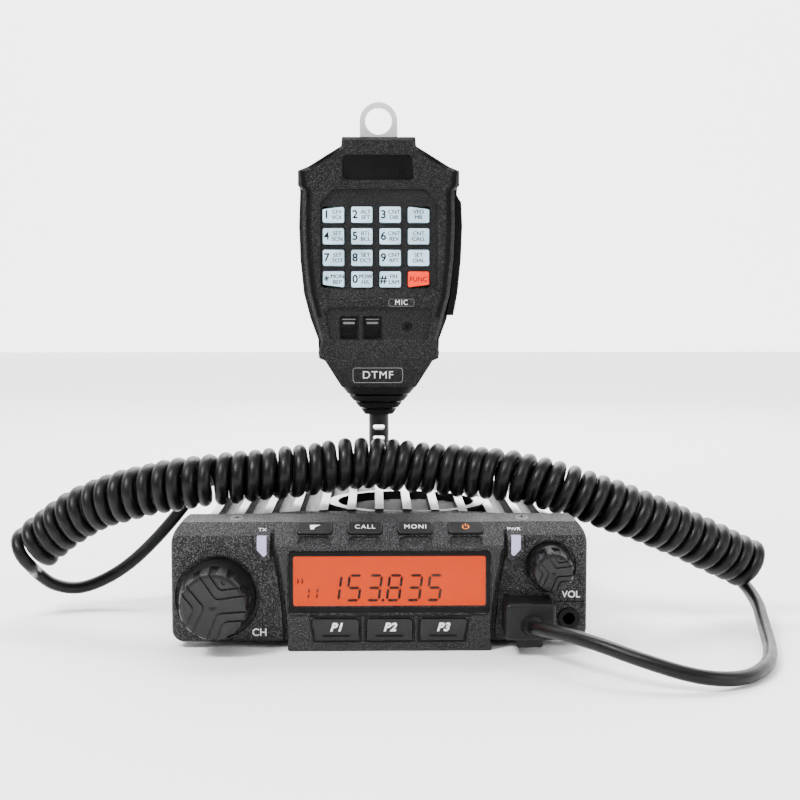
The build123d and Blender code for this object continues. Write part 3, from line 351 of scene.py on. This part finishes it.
def make_materials():
    grey = (0.0065, 0.0065, 0.007)
    return {
        "cast_aluminium": heatsink_material(),
        "cover_steel": spark_plastic("powder_coat", (0.006, 0.006, 0.0064), (0.03, 0.03, 0.031),
                                     1500, 0.68),
        "panel_plastic": spark_plastic("panel_grain", grey, (0.10, 0.10, 0.104), 2800, 0.57,
                                       (0.36, 0.5)),
        "window_clear": clear_material("display_lens", (1.0, 0.97, 0.95), 0.05, 1.0, 0.12),
        "lcd_orange": glow_material("lcd_backlight", (1.0, 0.066, 0.0), 1.15, 0.12),
        "led_lens": smooth_plastic("lens_lavender", (0.42, 0.40, 0.62), (0.15, 0.3), bump=0.05),
        "screw_steel": metal("screw_black_steel", (0.07, 0.07, 0.072), (0.25, 0.45)),
        "knob_plastic": smooth_plastic("knob_satin", (0.0048, 0.0048, 0.0052), (0.30, 0.44), 2600, 0.35,
                                       Specular_IOR_Level=0.3),
        "button_rubber": smooth_plastic("button_black", (0.0042, 0.0042, 0.0046), (0.28, 0.4), 2600, 0.25,
                                        Specular_IOR_Level=0.3),
        "board_green": board_material(),
        "control_metal": metal("plated_steel", (0.5, 0.5, 0.5)),
        "speaker_black": smooth_plastic("basket_black", (0.006, 0.006, 0.006)),
        "grille_cloth": cloth_material(),
        "connector_black": smooth_plastic("connector_moulding", (0.0045, 0.0045, 0.005), (0.2, 0.36)),
        "connector_clear": clear_material("connector_clear", (0.8, 0.82, 0.82), 0.12, 0.7),
        "nickel": metal("nickel_plate", (0.70, 0.67, 0.61), (0.14, 0.28), (1, 6, 1), 400),
        "cord_rubber": smooth_plastic("cord_jacket", (0.0016, 0.0016, 0.0017), (0.34, 0.46), 900, 0.18,
                                      Specular_IOR_Level=0.2),
        "boot_rubber": smooth_plastic("boot_rubber", (0.0045, 0.0045, 0.0048), (0.38, 0.52), 2000, 0.3,
                                      Specular_IOR_Level=0.2),
        "mic_plastic": spark_plastic("mic_grain", (0.0042, 0.0042, 0.0045), (0.05, 0.05, 0.052),
                                     2700, 0.59, (0.34, 0.48)),
        "mic_grip": smooth_plastic("grip_satin", (0.0025, 0.0025, 0.0028), (0.26, 0.42), 2400, 0.3),
        "key_blue": smooth_plastic("key_pale_blue", (0.44, 0.64, 0.76), (0.35, 0.5), 2200, 0.12),
        "key_orange": smooth_plastic("key_red_orange", (0.95, 0.03, 0.006), (0.35, 0.5), 2200, 0.12),
        "tab_clear": clear_material("tab_milky", (0.50, 0.51, 0.49), 0.35, 0.08),
    }


def dress_nodes(materials):
    slots = {entry["node"]: entry["material_slot"] for entry in frame["record"]["subparts"]}
    for name, piece in frame["nodes"].items():
        piece.data.materials.clear()
        piece.data.materials.append(materials[slots[name]])


# ======================= small helpers =======================

def add_piece(name, mesh, body, material):
    piece = linked(name, mesh)
    mesh.materials.clear()
    mesh.materials.append(material)
    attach(piece, body)
    return piece


PRINT = 0.03            # thickness of printed shapes, in mm
CAPITAL = 0.69          # height of the font's capitals per unit of its size


def evaluated_mesh(data):
    """Mesh of a font or curve; its data stays in the file."""
    holder = linked(data.name, data)
    bpy.context.view_layer.update()
    mesh = bpy.data.meshes.new_from_object(holder.evaluated_get(bpy.context.evaluated_depsgraph_get()))
    bpy.data.objects.remove(holder)
    return mesh


def finished(made, name):
    """Mesh with this name out of a bmesh, its faces turned outward."""
    bmesh.ops.recalc_face_normals(made, faces=made.faces)
    mesh = bpy.data.meshes.new(name)
    made.to_mesh(mesh)
    made.free()
    return mesh


def text_mesh(words, height, shear=0.0, bold=0.0, spacing=1.0):
    """Lettering as a thin mesh in the XY plane, centred, with capitals of this height in metres."""
    font = bpy.data.curves.new("lettering", "FONT")
    font.body = words
    font.size = height / CAPITAL
    font.shear = shear
    font.offset = bold
    font.space_character = spacing
    font.align_x, font.align_y = "CENTER", "CENTER"
    font.extrude = PRINT * MM
    mesh = evaluated_mesh(font)
    bpy.data.curves.remove(font)
    return mesh


def joined(meshes):
    """One mesh out of (mesh, matrix) pairs."""
    made = bmesh.new()
    for mesh, matrix in meshes:
        mesh.transform(matrix)
        made.from_mesh(mesh)
        bpy.data.meshes.remove(mesh)
    whole = bpy.data.meshes.new("joined")
    made.to_mesh(whole)
    made.free()
    return whole


def facing_front(x, y, z):
    """Matrix that stands an XY drawing up at (x, y, z) mm, facing the front."""
    return Matrix.Translation((x * MM, y * MM, z * MM)) @ Matrix.Rotation(math.pi / 2, 4, "X")


def slab(points, thick):
    """Flat plate from an outline in mm, from z = 0 up to thick."""
    made = bmesh.new()
    face = made.faces.new([made.verts.new((x * MM, y * MM, 0)) for x, y in points])
    grown = bmesh.ops.extrude_face_region(made, geom=[face])
    for item in grown["geom"]:
        if isinstance(item, bmesh.types.BMVert):
            item.co.z += thick * MM
    return finished(made, "slab")


def rounded(w, h, r, x=0.0, z=0.0, steps=5):
    """Outline of a rounded rectangle in mm."""
    points = []
    for cx, cz, first in ((1, 1, 0), (-1, 1, 90), (-1, -1, 180), (1, -1, 270)):
        for i in range(steps + 1):
            a = math.radians(first + 90 * i / steps)
            points.append((x + cx * (w / 2 - r) + r * math.cos(a), z + cz * (h / 2 - r) + r * math.sin(a)))
    return points


def band(outer, inner, thick):
    """Flat closed frame between two outlines with as many points each, in mm."""
    made = bmesh.new()
    loops = []
    for outline, z in ((outer, 0), (inner, 0), (inner, thick), (outer, thick)):
        loops.append([made.verts.new((px * MM, pz * MM, z * MM)) for px, pz in outline])
    for a, b in zip(loops, loops[1:] + loops[:1]):
        for i in range(len(a)):
            j = (i + 1) % len(a)
            made.faces.new((a[i], a[j], b[j], b[i]))
    return finished(made, "band")


# ======================= cord =======================
# The route of the cord's middle line, in metres: from the microphone, along the coil, to the plug.

CORD_D = 0.00475
COIL_R = 0.0095 - CORD_D / 2
TURNS = 53
TURN_STEPS = 22
LEAD_GAPS = (0.017, 0.030)          # room for the bridges before and after the coil
COIL_INSET = (0.004, 0.003)         # how far inside COIL_AXIS the turns start and stop
TRIALS = 36                         # starting angles tried for the smoothest bridge
COIL_FULLER, FULLER_OVER = 0.09, 30
LEAD_STEP = 1.6 * MM
MIC_LEAD = [(0.0, -0.005, 0.062), (0.0, -0.005, 0.0558), (-0.0052, -0.0046, 0.0509),
            (-0.0145, -0.0039, 0.0493), (-0.031, -0.003, 0.0498), (-0.048, -0.0038, 0.0518),
            (-0.0625, -0.0052, 0.052), (-0.0735, -0.0062, 0.0434), (-0.0815, -0.0068, 0.0332),
            (-0.0895, -0.008, 0.0242), (-0.0985, -0.0102, 0.0159), (-0.108, -0.0126, 0.0102),
            (-0.1174, -0.0156, 0.0074), (-0.1259, -0.0192, 0.0096), (-0.1316, -0.0225, 0.015),
            (-0.136, -0.0255, 0.0215)]
COIL_AXIS = [(-0.1355, -0.0305, 0.022), (-0.123, -0.0335, 0.0332), (-0.1085, -0.0375, 0.043),
             (-0.092, -0.0425, 0.0488), (-0.074, -0.0465, 0.053), (-0.050, -0.048, 0.0558),
             (-0.026, -0.044, 0.0575), (-0.007, -0.0405, 0.0604), (0.013, -0.0395, 0.0581),
             (0.033, -0.042, 0.0567), (0.050, -0.0465, 0.0556), (0.066, -0.0495, 0.0518),
             (0.084, -0.0485, 0.0456), (0.103, -0.0445, 0.0381), (0.121, -0.040, 0.0296),
             (0.1384, -0.035, 0.0208), (0.147, -0.032, 0.0166)]
PLUG_LEAD = [(0.1412, -0.0455, 0.0096), (0.1388, -0.0565, 0.0073), (0.1362, -0.074, 0.0043),
             (0.1323, -0.096, 0.0027), (0.1255, -0.117, 0.0028), (0.114, -0.1325, 0.0027),
             (0.0985, -0.1375, 0.0046), (0.082, -0.1325, 0.0088), (0.068, -0.1225, 0.0122),
             (0.058, -0.1105, 0.0126), (0.0522, -0.0992, 0.0113)]


def spline_points(points):
    """Points along the NURBS spline that has these control points."""
    data = bpy.data.curves.new("cord_route", "CURVE")
    data.dimensions = "3D"
    data.resolution_u = 16
    spline = data.splines.new("NURBS")
    spline.points.add(len(points) - 1)
    for target, point in zip(spline.points, points):
        target.co = (*point, 1)
    spline.order_u = 3
    spline.use_endpoint_u = True
    return [v.co.copy() for v in evaluated_mesh(data).vertices]


def lengths_along(line):
    total = [0.0]
    for a, b in zip(line, line[1:]):
        total.append(total[-1] + (b - a).length)
    return total


class Walk:
    """Places and cross directions along a line, by distance."""

    def __init__(self, line):
        self.line = line
        self.at = lengths_along(line)
        self.length = self.at[-1]
        self.tangents = []
        for i in range(len(line)):
            a, b = line[max(0, i - 1)], line[min(len(line) - 1, i + 1)]
            self.tangents.append((b - a).normalized())
        across = self.tangents[0].orthogonal().normalized()
        self.across = [across]
        for tangent in self.tangents[1:]:
            across = (across - tangent * across.dot(tangent)).normalized()
            self.across.append(across)
        self.index = 0

    def sample(self, distance):
        distance = min(max(distance, 0.0), self.length)
        if distance < self.at[self.index]:
            self.index = 0
        while self.index < len(self.at) - 2 and self.at[self.index + 1] < distance:
            self.index += 1
        i = self.index
        part = (distance - self.at[i]) / max(1e-9, self.at[i + 1] - self.at[i])
        place = self.line[i].lerp(self.line[i + 1], part)
        tangent = self.tangents[i].lerp(self.tangents[i + 1], part).normalized()
        across = self.across[i].lerp(self.across[i + 1], part)
        across = (across - tangent * across.dot(tangent)).normalized()
        return place, tangent, across

    def nearest(self, point):
        best = min(range(len(self.line)), key=lambda i: (self.line[i] - Vector(point)).length)
        return self.at[best]


def bridge(a, a_way, b, b_way, steps=18, ease=0.8):
    """Cubic curve from a to b that leaves and arrives along the given directions."""
    reach = (b - a).length * ease
    points = []
    for i in range(1, steps):
        t = i / steps
        points.append(a * (2 * t ** 3 - 3 * t ** 2 + 1) + a_way * reach * (t ** 3 - 2 * t ** 2 + t)
                      + b * (3 * t ** 2 - 2 * t ** 3) + b_way * reach * (t ** 3 - t ** 2))
    return points


def sharpness(points):
    """Largest turn per length along a line of points."""
    worst = 0
    for a, b, c in zip(points, points[1:], points[2:]):
        worst = max(worst, (b - a).angle(c - b) / max(1e-9, (c - a).length / 2))
    return worst


def lead_points(walk, a, b):
    count = max(2, int((b - a) / LEAD_STEP))
    return [walk.sample(a + (b - a) * i / count)[0] for i in range(count + 1)]


def coiled_line(walk, start, end):
    """The cord's own middle line: plain leads, and a left-handed helix between start and end."""
    pitch = (end - start) / TURNS

    def helix(turn, phase):
        """Place on the helix; the sines make its turns a little uneven."""
        place, tangent, across = walk.sample(start + turn * pitch)
        other = tangent.cross(across)
        angle = -TAU * turn + phase + 0.2 * math.sin(0.9 * turn)
        reach = COIL_R * (1 + 0.014 * math.sin(1.7 * turn) + 0.010 * math.sin(0.61 * turn + 1))
        drift = 0.035 * pitch * math.sin(1.3 * turn) + 0.03 * pitch * math.sin(2.9 * turn + 2)
        return place + tangent * drift + (across * math.cos(angle) + other * math.sin(angle)) * reach

    def joint(lead_at, way, turn, phase):
        """Bridge between the plain lead and the helix; way is 1 at the first end, -1 at the last."""
        place, tangent, _ = walk.sample(lead_at)
        first, second = helix(turn, phase), helix(turn + 0.02 * way, phase)
        along = (second - first).normalized()
        if way > 0:
            return bridge(place, tangent, first, along)
        return bridge(first, -along, place, tangent)

    first_lead, last_lead = start - LEAD_GAPS[0], end + LEAD_GAPS[1]
    phases = [TAU * k / TRIALS for k in range(TRIALS)]
    phase = min(phases, key=lambda p: sharpness(joint(first_lead, 1, 0, p)))
    extras = [k / TRIALS for k in range(TRIALS)]
    extra = min(extras, key=lambda e: sharpness(joint(last_lead, -1, TURNS - e, phase)))
    last_turn = TURNS - extra
    line = lead_points(walk, 0, first_lead) + joint(first_lead, 1, 0, phase)
    coil_from = len(line)
    steps = int(last_turn * TURN_STEPS)
    line += [helix(last_turn * i / steps, phase) for i in range(steps + 1)]
    coil_to = len(line)
    line += joint(last_lead, -1, last_turn, phase) + lead_points(walk, last_lead, walk.length)
    return line, coil_from, coil_to


def tube_mesh(line, radius, coil_from, coil_to, sides=14):
    """Closed tube round a line, pressed a little wider where the turns lie side by side."""
    walk = Walk(line)
    made = bmesh.new()
    rings = []
    for i, (place, tangent, across) in enumerate(zip(line, walk.tangents, walk.across)):
        other = tangent.cross(across)
        inside = min(i - coil_from, coil_to - i) / FULLER_OVER
        wide = radius * (1 + COIL_FULLER * min(1, max(0, inside)))
        ring = []
        for k in range(sides):
            a = TAU * k / sides
            ring.append(made.verts.new(place + (across * math.cos(a) + other * math.sin(a)) * wide))
        rings.append(ring)
    for a, b in zip(rings, rings[1:]):
        for k in range(sides):
            made.faces.new((a[k], a[(k + 1) % sides], b[(k + 1) % sides], b[k]))
    made.faces.new(list(reversed(rings[0])))
    made.faces.new(rings[-1])
    mesh = finished(made, "cord_tube")
    for face in mesh.polygons:
        face.use_smooth = True
    return mesh


def make_cord(material):
    walk = Walk(spline_points(MIC_LEAD + COIL_AXIS + PLUG_LEAD))
    start, end = walk.nearest(COIL_AXIS[0]), walk.nearest(COIL_AXIS[-1])
    line, coil_from, coil_to = coiled_line(walk, start + COIL_INSET[0], end - COIL_INSET[1])
    mesh = tube_mesh(line, CORD_D / 2, coil_from, coil_to)
    cord = linked("curly_cord", mesh)
    mesh.materials.append(material)
    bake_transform(cord)
    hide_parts("cord_lead_mic", "cord_coil", "cord_lead_plug")
    print("cord length", round(lengths_along(line)[-1], 4), "coil", round(end - start, 4))


# ======================= display =======================

LCD_FRONT = -81.97      # where the digits lie, in mm
BORDER_FRONT = -84.11
DIGIT_FOOT, SMALL_DIGIT_FOOT = 16.7, 17.4
SEGMENTS = {"0": "abcdef", "1": "bc", "3": "abcdg", "5": "afgcd", "8": "abcdefg"}


def segment_outline(which, w, h, t):
    """One bar of a seven-segment digit, in mm from the digit's lower left corner."""
    g = 0.10 * t + 0.12
    half = h / 2
    if which in "agd":
        z = {"a": h - t / 2, "g": half, "d": t / 2}[which]
        return [(t / 2 + g, z), (t + g, z + t / 2), (w - t - g, z + t / 2), (w - t / 2 - g, z),
                (w - t - g, z - t / 2), (t + g, z - t / 2)]
    x = t / 2 if which in "ef" else w - t / 2
    low, high = (t / 2 + g, half - g) if which in "ec" else (half + g, h - t / 2 - g)
    return [(x, low), (x + t / 2, low + t / 2), (x + t / 2, high - t / 2), (x, high),
            (x - t / 2, high - t / 2), (x - t / 2, low + t / 2)]


def digit_meshes(words, x, z, w, h, t, step, slant=0.13):
    """Seven-segment digits from (x, z) on, in mm: w by h with bars t wide, one every step."""
    meshes = []
    for character in words:
        if character == ".":
            dot = slab([(0, 0), (t, 0), (t, t), (0, t)], PRINT)
            meshes.append((dot, facing_front(x - step + w + 0.55, LCD_FRONT, z)))
            continue
        for which in SEGMENTS[character]:
            outline = [(px + slant * pz, pz) for px, pz in segment_outline(which, w, h, t)]
            meshes.append((slab(outline, PRINT), facing_front(x, LCD_FRONT, z)))
        x += step
    return meshes


def make_display(materials):
    ink = Shade("lcd_ink", (0.012, 0.0015, 0.0005), 0.5, Specular_IOR_Level=0.1)
    ink.roughness(ink.noise(300, 3), 0.3, 0.5)
    meshes = digit_meshes("153.835", -18.9, DIGIT_FOOT, 5.1, 9.6, 0.95, 6.95)
    meshes += digit_meshes("11", -26.6, SMALL_DIGIT_FOOT, 2.2, 4.4, 0.6, 2.9)
    for k in range(2):
        mark = slab([(0, 0), (0.5, 0), (0.9, 0.9), (0.5, 1.8), (0, 1.8), (0.4, 0.9)], PRINT)
        meshes.append((mark, facing_front(-28.6 + 1.5 * k, LCD_FRONT, 23.0)))
    add_piece("lcd_digits", joined(meshes), "transceiver", ink.material)
    border = band(rounded(69.0, 21.2, 1.2), rounded(66.8, 17.9, 0.9), 0.04)
    border = joined([(border, facing_front(BULGE_X, BORDER_FRONT, 24))])
    add_piece("display_border", border, "transceiver", materials["mic_grip"])


# ======================= lettering =======================

# the sloped top edge of the panel runs back and up from SLOPE_FOOT (y, z), in mm
SLOPE_FOOT, SLOPE_RUN, SLOPE_RISE = (-80.5, 39.6), 5.5, 43.4 - 39.6
WING_FRONT, BULGE_FRONT = -80.52, -86.22
UPPER_KEY_Y, UPPER_KEY_FACE = -77.9, 0.92


def on_slope(x, y, lift=0.0):
    """Matrix on the panel's sloped top edge at (x, y) mm, raised by lift."""
    a = math.atan(SLOPE_RISE / SLOPE_RUN)
    z = SLOPE_FOOT[1] + (y - SLOPE_FOOT[0]) * math.tan(a)
    place = Vector((x, y - lift * math.sin(a), z + lift * math.cos(a))) * MM
    return Matrix.Translation(place) @ Matrix.Rotation(a, 4, "X")


def ring_outline(radius, width, gap_deg, steps=26):
    """Open ring, as in a power symbol, in mm."""
    first, last = 90 + gap_deg / 2, 450 - gap_deg / 2
    angles = [math.radians(first + (last - first) * i / steps) for i in range(steps + 1)]
    outer = [(radius * math.cos(a), radius * math.sin(a)) for a in angles]
    inner = [((radius - width) * math.cos(a), (radius - width) * math.sin(a)) for a in reversed(angles)]
    return outer + inner


def lower_key_marks(white, grip):
    """Number of each lower key, with a small raised bar under it."""
    for number, x in enumerate(P_KEY_X, 1):
        name = f"p{number}_button"
        letters = text_mesh(f"P{number}", 2.7 * MM, shear=0.3, bold=0.17 * MM, spacing=1.12)
        letters = joined([(letters, facing_front(x, BULGE_FRONT, 8.6))])
        add_piece(f"{name}_lettering", letters, name, white)
        bar = joined([(slab(rounded(9.4, 0.7, 0.3), 0.22), facing_front(x, -86.15, 5.75))])
        add_piece(f"{name}_bar", bar, name, grip)


def upper_key_marks(white, orange):
    def on_key(x):
        return on_slope(x, UPPER_KEY_Y, UPPER_KEY_FACE)

    arrow = slab([(-1.6, 1.0), (1.9, 1.0), (0.2, -0.1), (-0.2, -1.1), (-1.4, -1.1)], PRINT)
    add_piece("scan_button_mark", joined([(arrow, on_key(-22.5))]), "scan_button",
              white)
    for words, name, x in (("CALL", "call_button", -5.05), ("MONI", "monitor_button", 12.4)):
        letters = joined([(text_mesh(words, 1.9 * MM, spacing=1.16), on_key(x))])
        add_piece(f"{name}_lettering", letters, name, white)
    stroke = [(-0.17, 0.2), (0.17, 0.2), (0.17, 1.5), (-0.17, 1.5)]
    symbol = joined([(slab(outline, PRINT), on_key(29.85))
                     for outline in (ring_outline(1.25, 0.34, 70), stroke)])
    add_piece("power_button_mark", symbol, "power_button", orange)


# digit, upper and lower word of each microphone key, row by row
KEY_WORDS = [
    [("key_1", "1", "LEV", "VOL"), ("key_2", "2", "ALT", "SFT"),
     ("key_3", "3", "CNT", "DIR"), ("key_vfo", "", "VFO", "MR")],
    [("key_4", "4", "SET", "SCN"), ("key_5", "5", "BTL", "BCL"),
     ("key_6", "6", "CNT", "REV"), ("key_call", "", "CNT", "CALL")],
    [("key_7", "7", "SET", "TOT"), ("key_8", "8", "SET", "DCT"),
     ("key_9", "9", "CNT", "RPT"), ("key_dial", "", "SET", "DIAL")],
    [("key_star", "*", "MON", "BEP"), ("key_0", "0", "POW", "H/L"),
     ("key_hash", "#", "FRE", "LAM"), ("key_func", "", "FUNC", "")],
]
DIGIT_BOLD, FOUR_BOLD = 0.09 * MM, 0.03 * MM    # the 4 is thinner: its small loop tends to fill
WORD_SHIFT = 0.045      # each word is printed twice, this far left and right, for a bolder stroke


def key_letters(x, z, digit, upper, lower):
    """Mesh and matrix pairs of the lettering on the key at (x, z) mm."""
    letters = []
    side = 1.45 if digit else 0.0
    if digit:
        drop = -0.5 if digit == "*" else 0.0
        bold = FOUR_BOLD if digit == "4" else DIGIT_BOLD
        letters.append((text_mesh(digit, 3.0 * MM, bold=bold), facing_front(x - 2.6, KEY_FACE, z + drop)))
    if not lower:
        letters.append((text_mesh(upper, 1.8 * MM), facing_front(x, KEY_FACE, z)))
        return letters
    for shift in (-WORD_SHIFT, WORD_SHIFT):
        for line, rise in ((upper, 1.05), (lower, -1.05)):
            place = facing_front(x + side + shift, KEY_FACE, z + rise)
            letters.append((text_mesh(line, 1.5 * MM), place))
    return letters


def mic_key_marks(dark):
    for z, row in zip(KEY_Z, KEY_WORDS):
        for x, (name, *words) in zip(KEY_X, row):
            add_piece(f"{name}_lettering", joined(key_letters(x, z, *words)), name, dark)


def mic_labels(white, rim, faint):
    # the lower label stands on the face that slopes back to the strain relief
    tilt = Matrix.Translation(Vector((-0.4, -17.1, 91.0)) * MM) @ Matrix.Rotation(math.radians(106), 4, "X")
    frame_dtmf = band(rounded(19.4, 6.2, 1.3), rounded(18.9, 5.7, 1.05), 0.05)
    frame_mic = band(rounded(9.8, 2.9, 0.8), rounded(9.5, 2.6, 0.65), 0.05)
    mic_x, mic_z = 8.7, 119.0
    labels = [(text_mesh("DTMF", 3.0 * MM, spacing=1.12), tilt),
              (text_mesh("MIC", 1.9 * MM, spacing=1.14), facing_front(mic_x, -18.78, mic_z))]
    rims = joined([(frame_dtmf, tilt), (frame_mic, facing_front(mic_x, -18.76, mic_z))])
    add_piece("mic_label_rims", rims, "microphone", rim)
    add_piece("mic_lettering", joined(labels), "microphone", white)
    small = [(text_mesh(words, 1.4 * MM), facing_front(x, KEY_FACE, 99.6))
             for words, x in zip(("LOCK", "DTMF"), SWITCH_X)]
    add_piece("mic_switch_lettering", joined(small), "microphone", faint)


def make_lettering(grip):
    inks = {name: smooth_plastic(f"ink_{name}", color, (0.4, 0.5), bump=0.05) for name, color in (
        ("white", (0.72, 0.72, 0.74)), ("orange", (0.95, 0.20, 0.02)),
        ("dark_blue", (0.002, 0.004, 0.010)), ("faint", (0.02, 0.02, 0.021)),
        ("rim", (0.16, 0.16, 0.165)))}
    panel = [(text_mesh("CH", 2.5 * MM, bold=0.05 * MM), facing_front(-41.6, WING_FRONT, 5.6)),
             (text_mesh("VOL", 2.3 * MM, bold=0.05 * MM), facing_front(66.4, WING_FRONT, 18.6)),
             (text_mesh("TX", 1.5 * MM), on_slope(-40.5, -78.2, 0.02)),
             (text_mesh("PWR", 1.5 * MM), on_slope(46.6, -78.2, 0.02))]
    add_piece("panel_lettering", joined(panel), "transceiver", inks["white"])
    lower_key_marks(inks["white"], grip)
    upper_key_marks(inks["white"], inks["orange"])
    mic_key_marks(inks["dark_blue"])
    mic_labels(inks["white"], inks["rim"], inks["faint"])


# ======================= small Blender details =======================

# half outline of the microphone's face, (x, z) in mm, followed by the side strips
MIC_EDGE = [(30.2, 169.0), (29.7, 163.4), (27.8, 161.6), (28.0, 148.5), (27.5, 135.5),
            (26.1, 122.4), (23.7, 113.2)]
SHOULDER = [(17.2, 175.3), (17.5, 176.0), (24.2, 172.0), (23.6, 171.4)]
STRIPS = ((0.35, 1.5, 0.05), (2.0, 0.28, 0.07))     # inset, width and lift of each strip


def mirrored(points, s):
    """Outline on the side s = 1 or -1, run the other way round on the mirrored side."""
    outline = [(s * x, z) for x, z in points]
    return outline if s > 0 else outline[::-1]


def make_mic_details(materials):
    """Label plate, switch bodies seen through the wells with dark outlines round them as painted shade,
    grips, side strips and shoulder bars.
    """
    plate = joined([(slab(rounded(27.4, 9.2, 1.4), 0.12), facing_front(0, -18.52, 170.4))])
    add_piece("mic_label_plate", plate, "microphone", materials["mic_grip"])
    bodies = []
    for x in SWITCH_X:
        well = band(rounded(6.3, 8.1, 0.3), rounded(5.3, 7.1, 0.2), 0.25)
        # painted shade: a dark outline band round each switch well, where the recess edge falls into shade
        rim = band(rounded(7.6, 9.4, 0.6), rounded(6.5, 8.3, 0.3), 0.12)
        bodies.append((slab(rounded(7.8, 10.2, 0.6), 2.4), facing_front(x, -12.5, SWITCH_Z)))
        bodies.append((well, facing_front(x, -14.9, SWITCH_Z)))
        bodies.append((rim, facing_front(x, -17.8, SWITCH_Z)))
    add_piece("mic_switch_bodies_and_shade_rims", joined(bodies), "microphone",
              materials["connector_black"])
    pale = smooth_plastic("slider_grey", (0.10, 0.10, 0.105), (0.4, 0.5), bump=0.05)
    for x, name in zip(SWITCH_X, ("lock_switch", "dtmf_switch")):
        grip = joined([(slab(rounded(4.4, 0.8, 0.3), 0.25), facing_front(x, -18.45, 111.2)),
                       (slab(rounded(5.2, 0.35, 0.1), 0.2), facing_front(x, -17.9, 112.6))])
        add_piece(f"{name}_grip", grip, name, pale)
    strips, bars = [], []
    for s in (-1, 1):
        for inset, width, lift in STRIPS:
            outer = [(x - inset, z) for x, z in MIC_EDGE]
            inner = [(x - inset - width, z) for x, z in MIC_EDGE]
            outline = mirrored(inner + outer[::-1], s)
            strips.append((slab(outline, lift), facing_front(0, MIC_FACE, 0)))
        bars.append((slab(mirrored(SHOULDER, s), 0.9), facing_front(0, -17.85, 0)))
    add_piece("mic_side_strips", joined(strips), "microphone", materials["mic_grip"])
    add_piece("mic_shoulder_bars", joined(bars), "microphone", materials["mic_grip"])


POD_TOP = 39.4          # the painted shadow lines round the pods end here, below the TX and PWR lettering
LEANS = ((1.6, 0.0), (0.0, 0.0), (0.0, 1.6))        # how far each lower key's sides lean out


def pod_outline(x, toward, grow):
    """Outline of a lamp's pod, pointed at its lower outer corner, grown all round, in mm."""
    half_w, half_h, tip = 2.85 + grow, 4.75 + grow, 2.6 + 0.4 * grow
    points = [(-half_w, half_h), (half_w, half_h), (half_w, -half_h),
              (half_w - tip * 0.6, -half_h - tip * 0.4), (-half_w, -half_h + tip)]
    return [(x + toward * px, min(LAMP_Z + pz, POD_TOP)) for px, pz in points]


def key_outline(x, left, right, grow):
    """Outline of a lower key, whose outer side leans, grown all round, in mm."""
    half_w, half_h = 7.85 + grow, 3.7 + grow
    return [(x - half_w - left / 2, P_KEY_Z + half_h), (x + half_w + right / 2, P_KEY_Z + half_h),
            (x + half_w - right / 2, P_KEY_Z - half_h), (x - half_w + left / 2, P_KEY_Z - half_h)]


def make_painted_shadow_lines(material):
    """Dark bands of painted shadow in the gaps round the lamps' pods and the lower keys."""
    # painted shadow: dark bands, wider than the real gaps, laid where the gaps fall into shade
    meshes = []
    for x, toward in zip(LAMP_X, (1, -1)):
        shadow_line = band(pod_outline(x, toward, 0.55), pod_outline(x, toward, 0.0), 0.06)
        meshes.append((shadow_line, facing_front(0, -80.5, 0)))
    for x, lean in zip(P_KEY_X, LEANS):
        shadow_line = band(key_outline(x, *lean, 0.85), key_outline(x, *lean, 0.3), 0.06)
        meshes.append((shadow_line, facing_front(0, -84.98, 0)))
    add_piece("pod_painted_shadow_lines", joined(meshes), "transceiver", material)


# ======================= put it together =======================

make_camera()
make_stage()
materials = make_materials()
dress_nodes(materials)
make_cord(materials["cord_rubber"])
make_display(materials)
make_lettering(materials["mic_grip"])
make_mic_details(materials)
make_painted_shadow_lines(materials["mic_grip"])
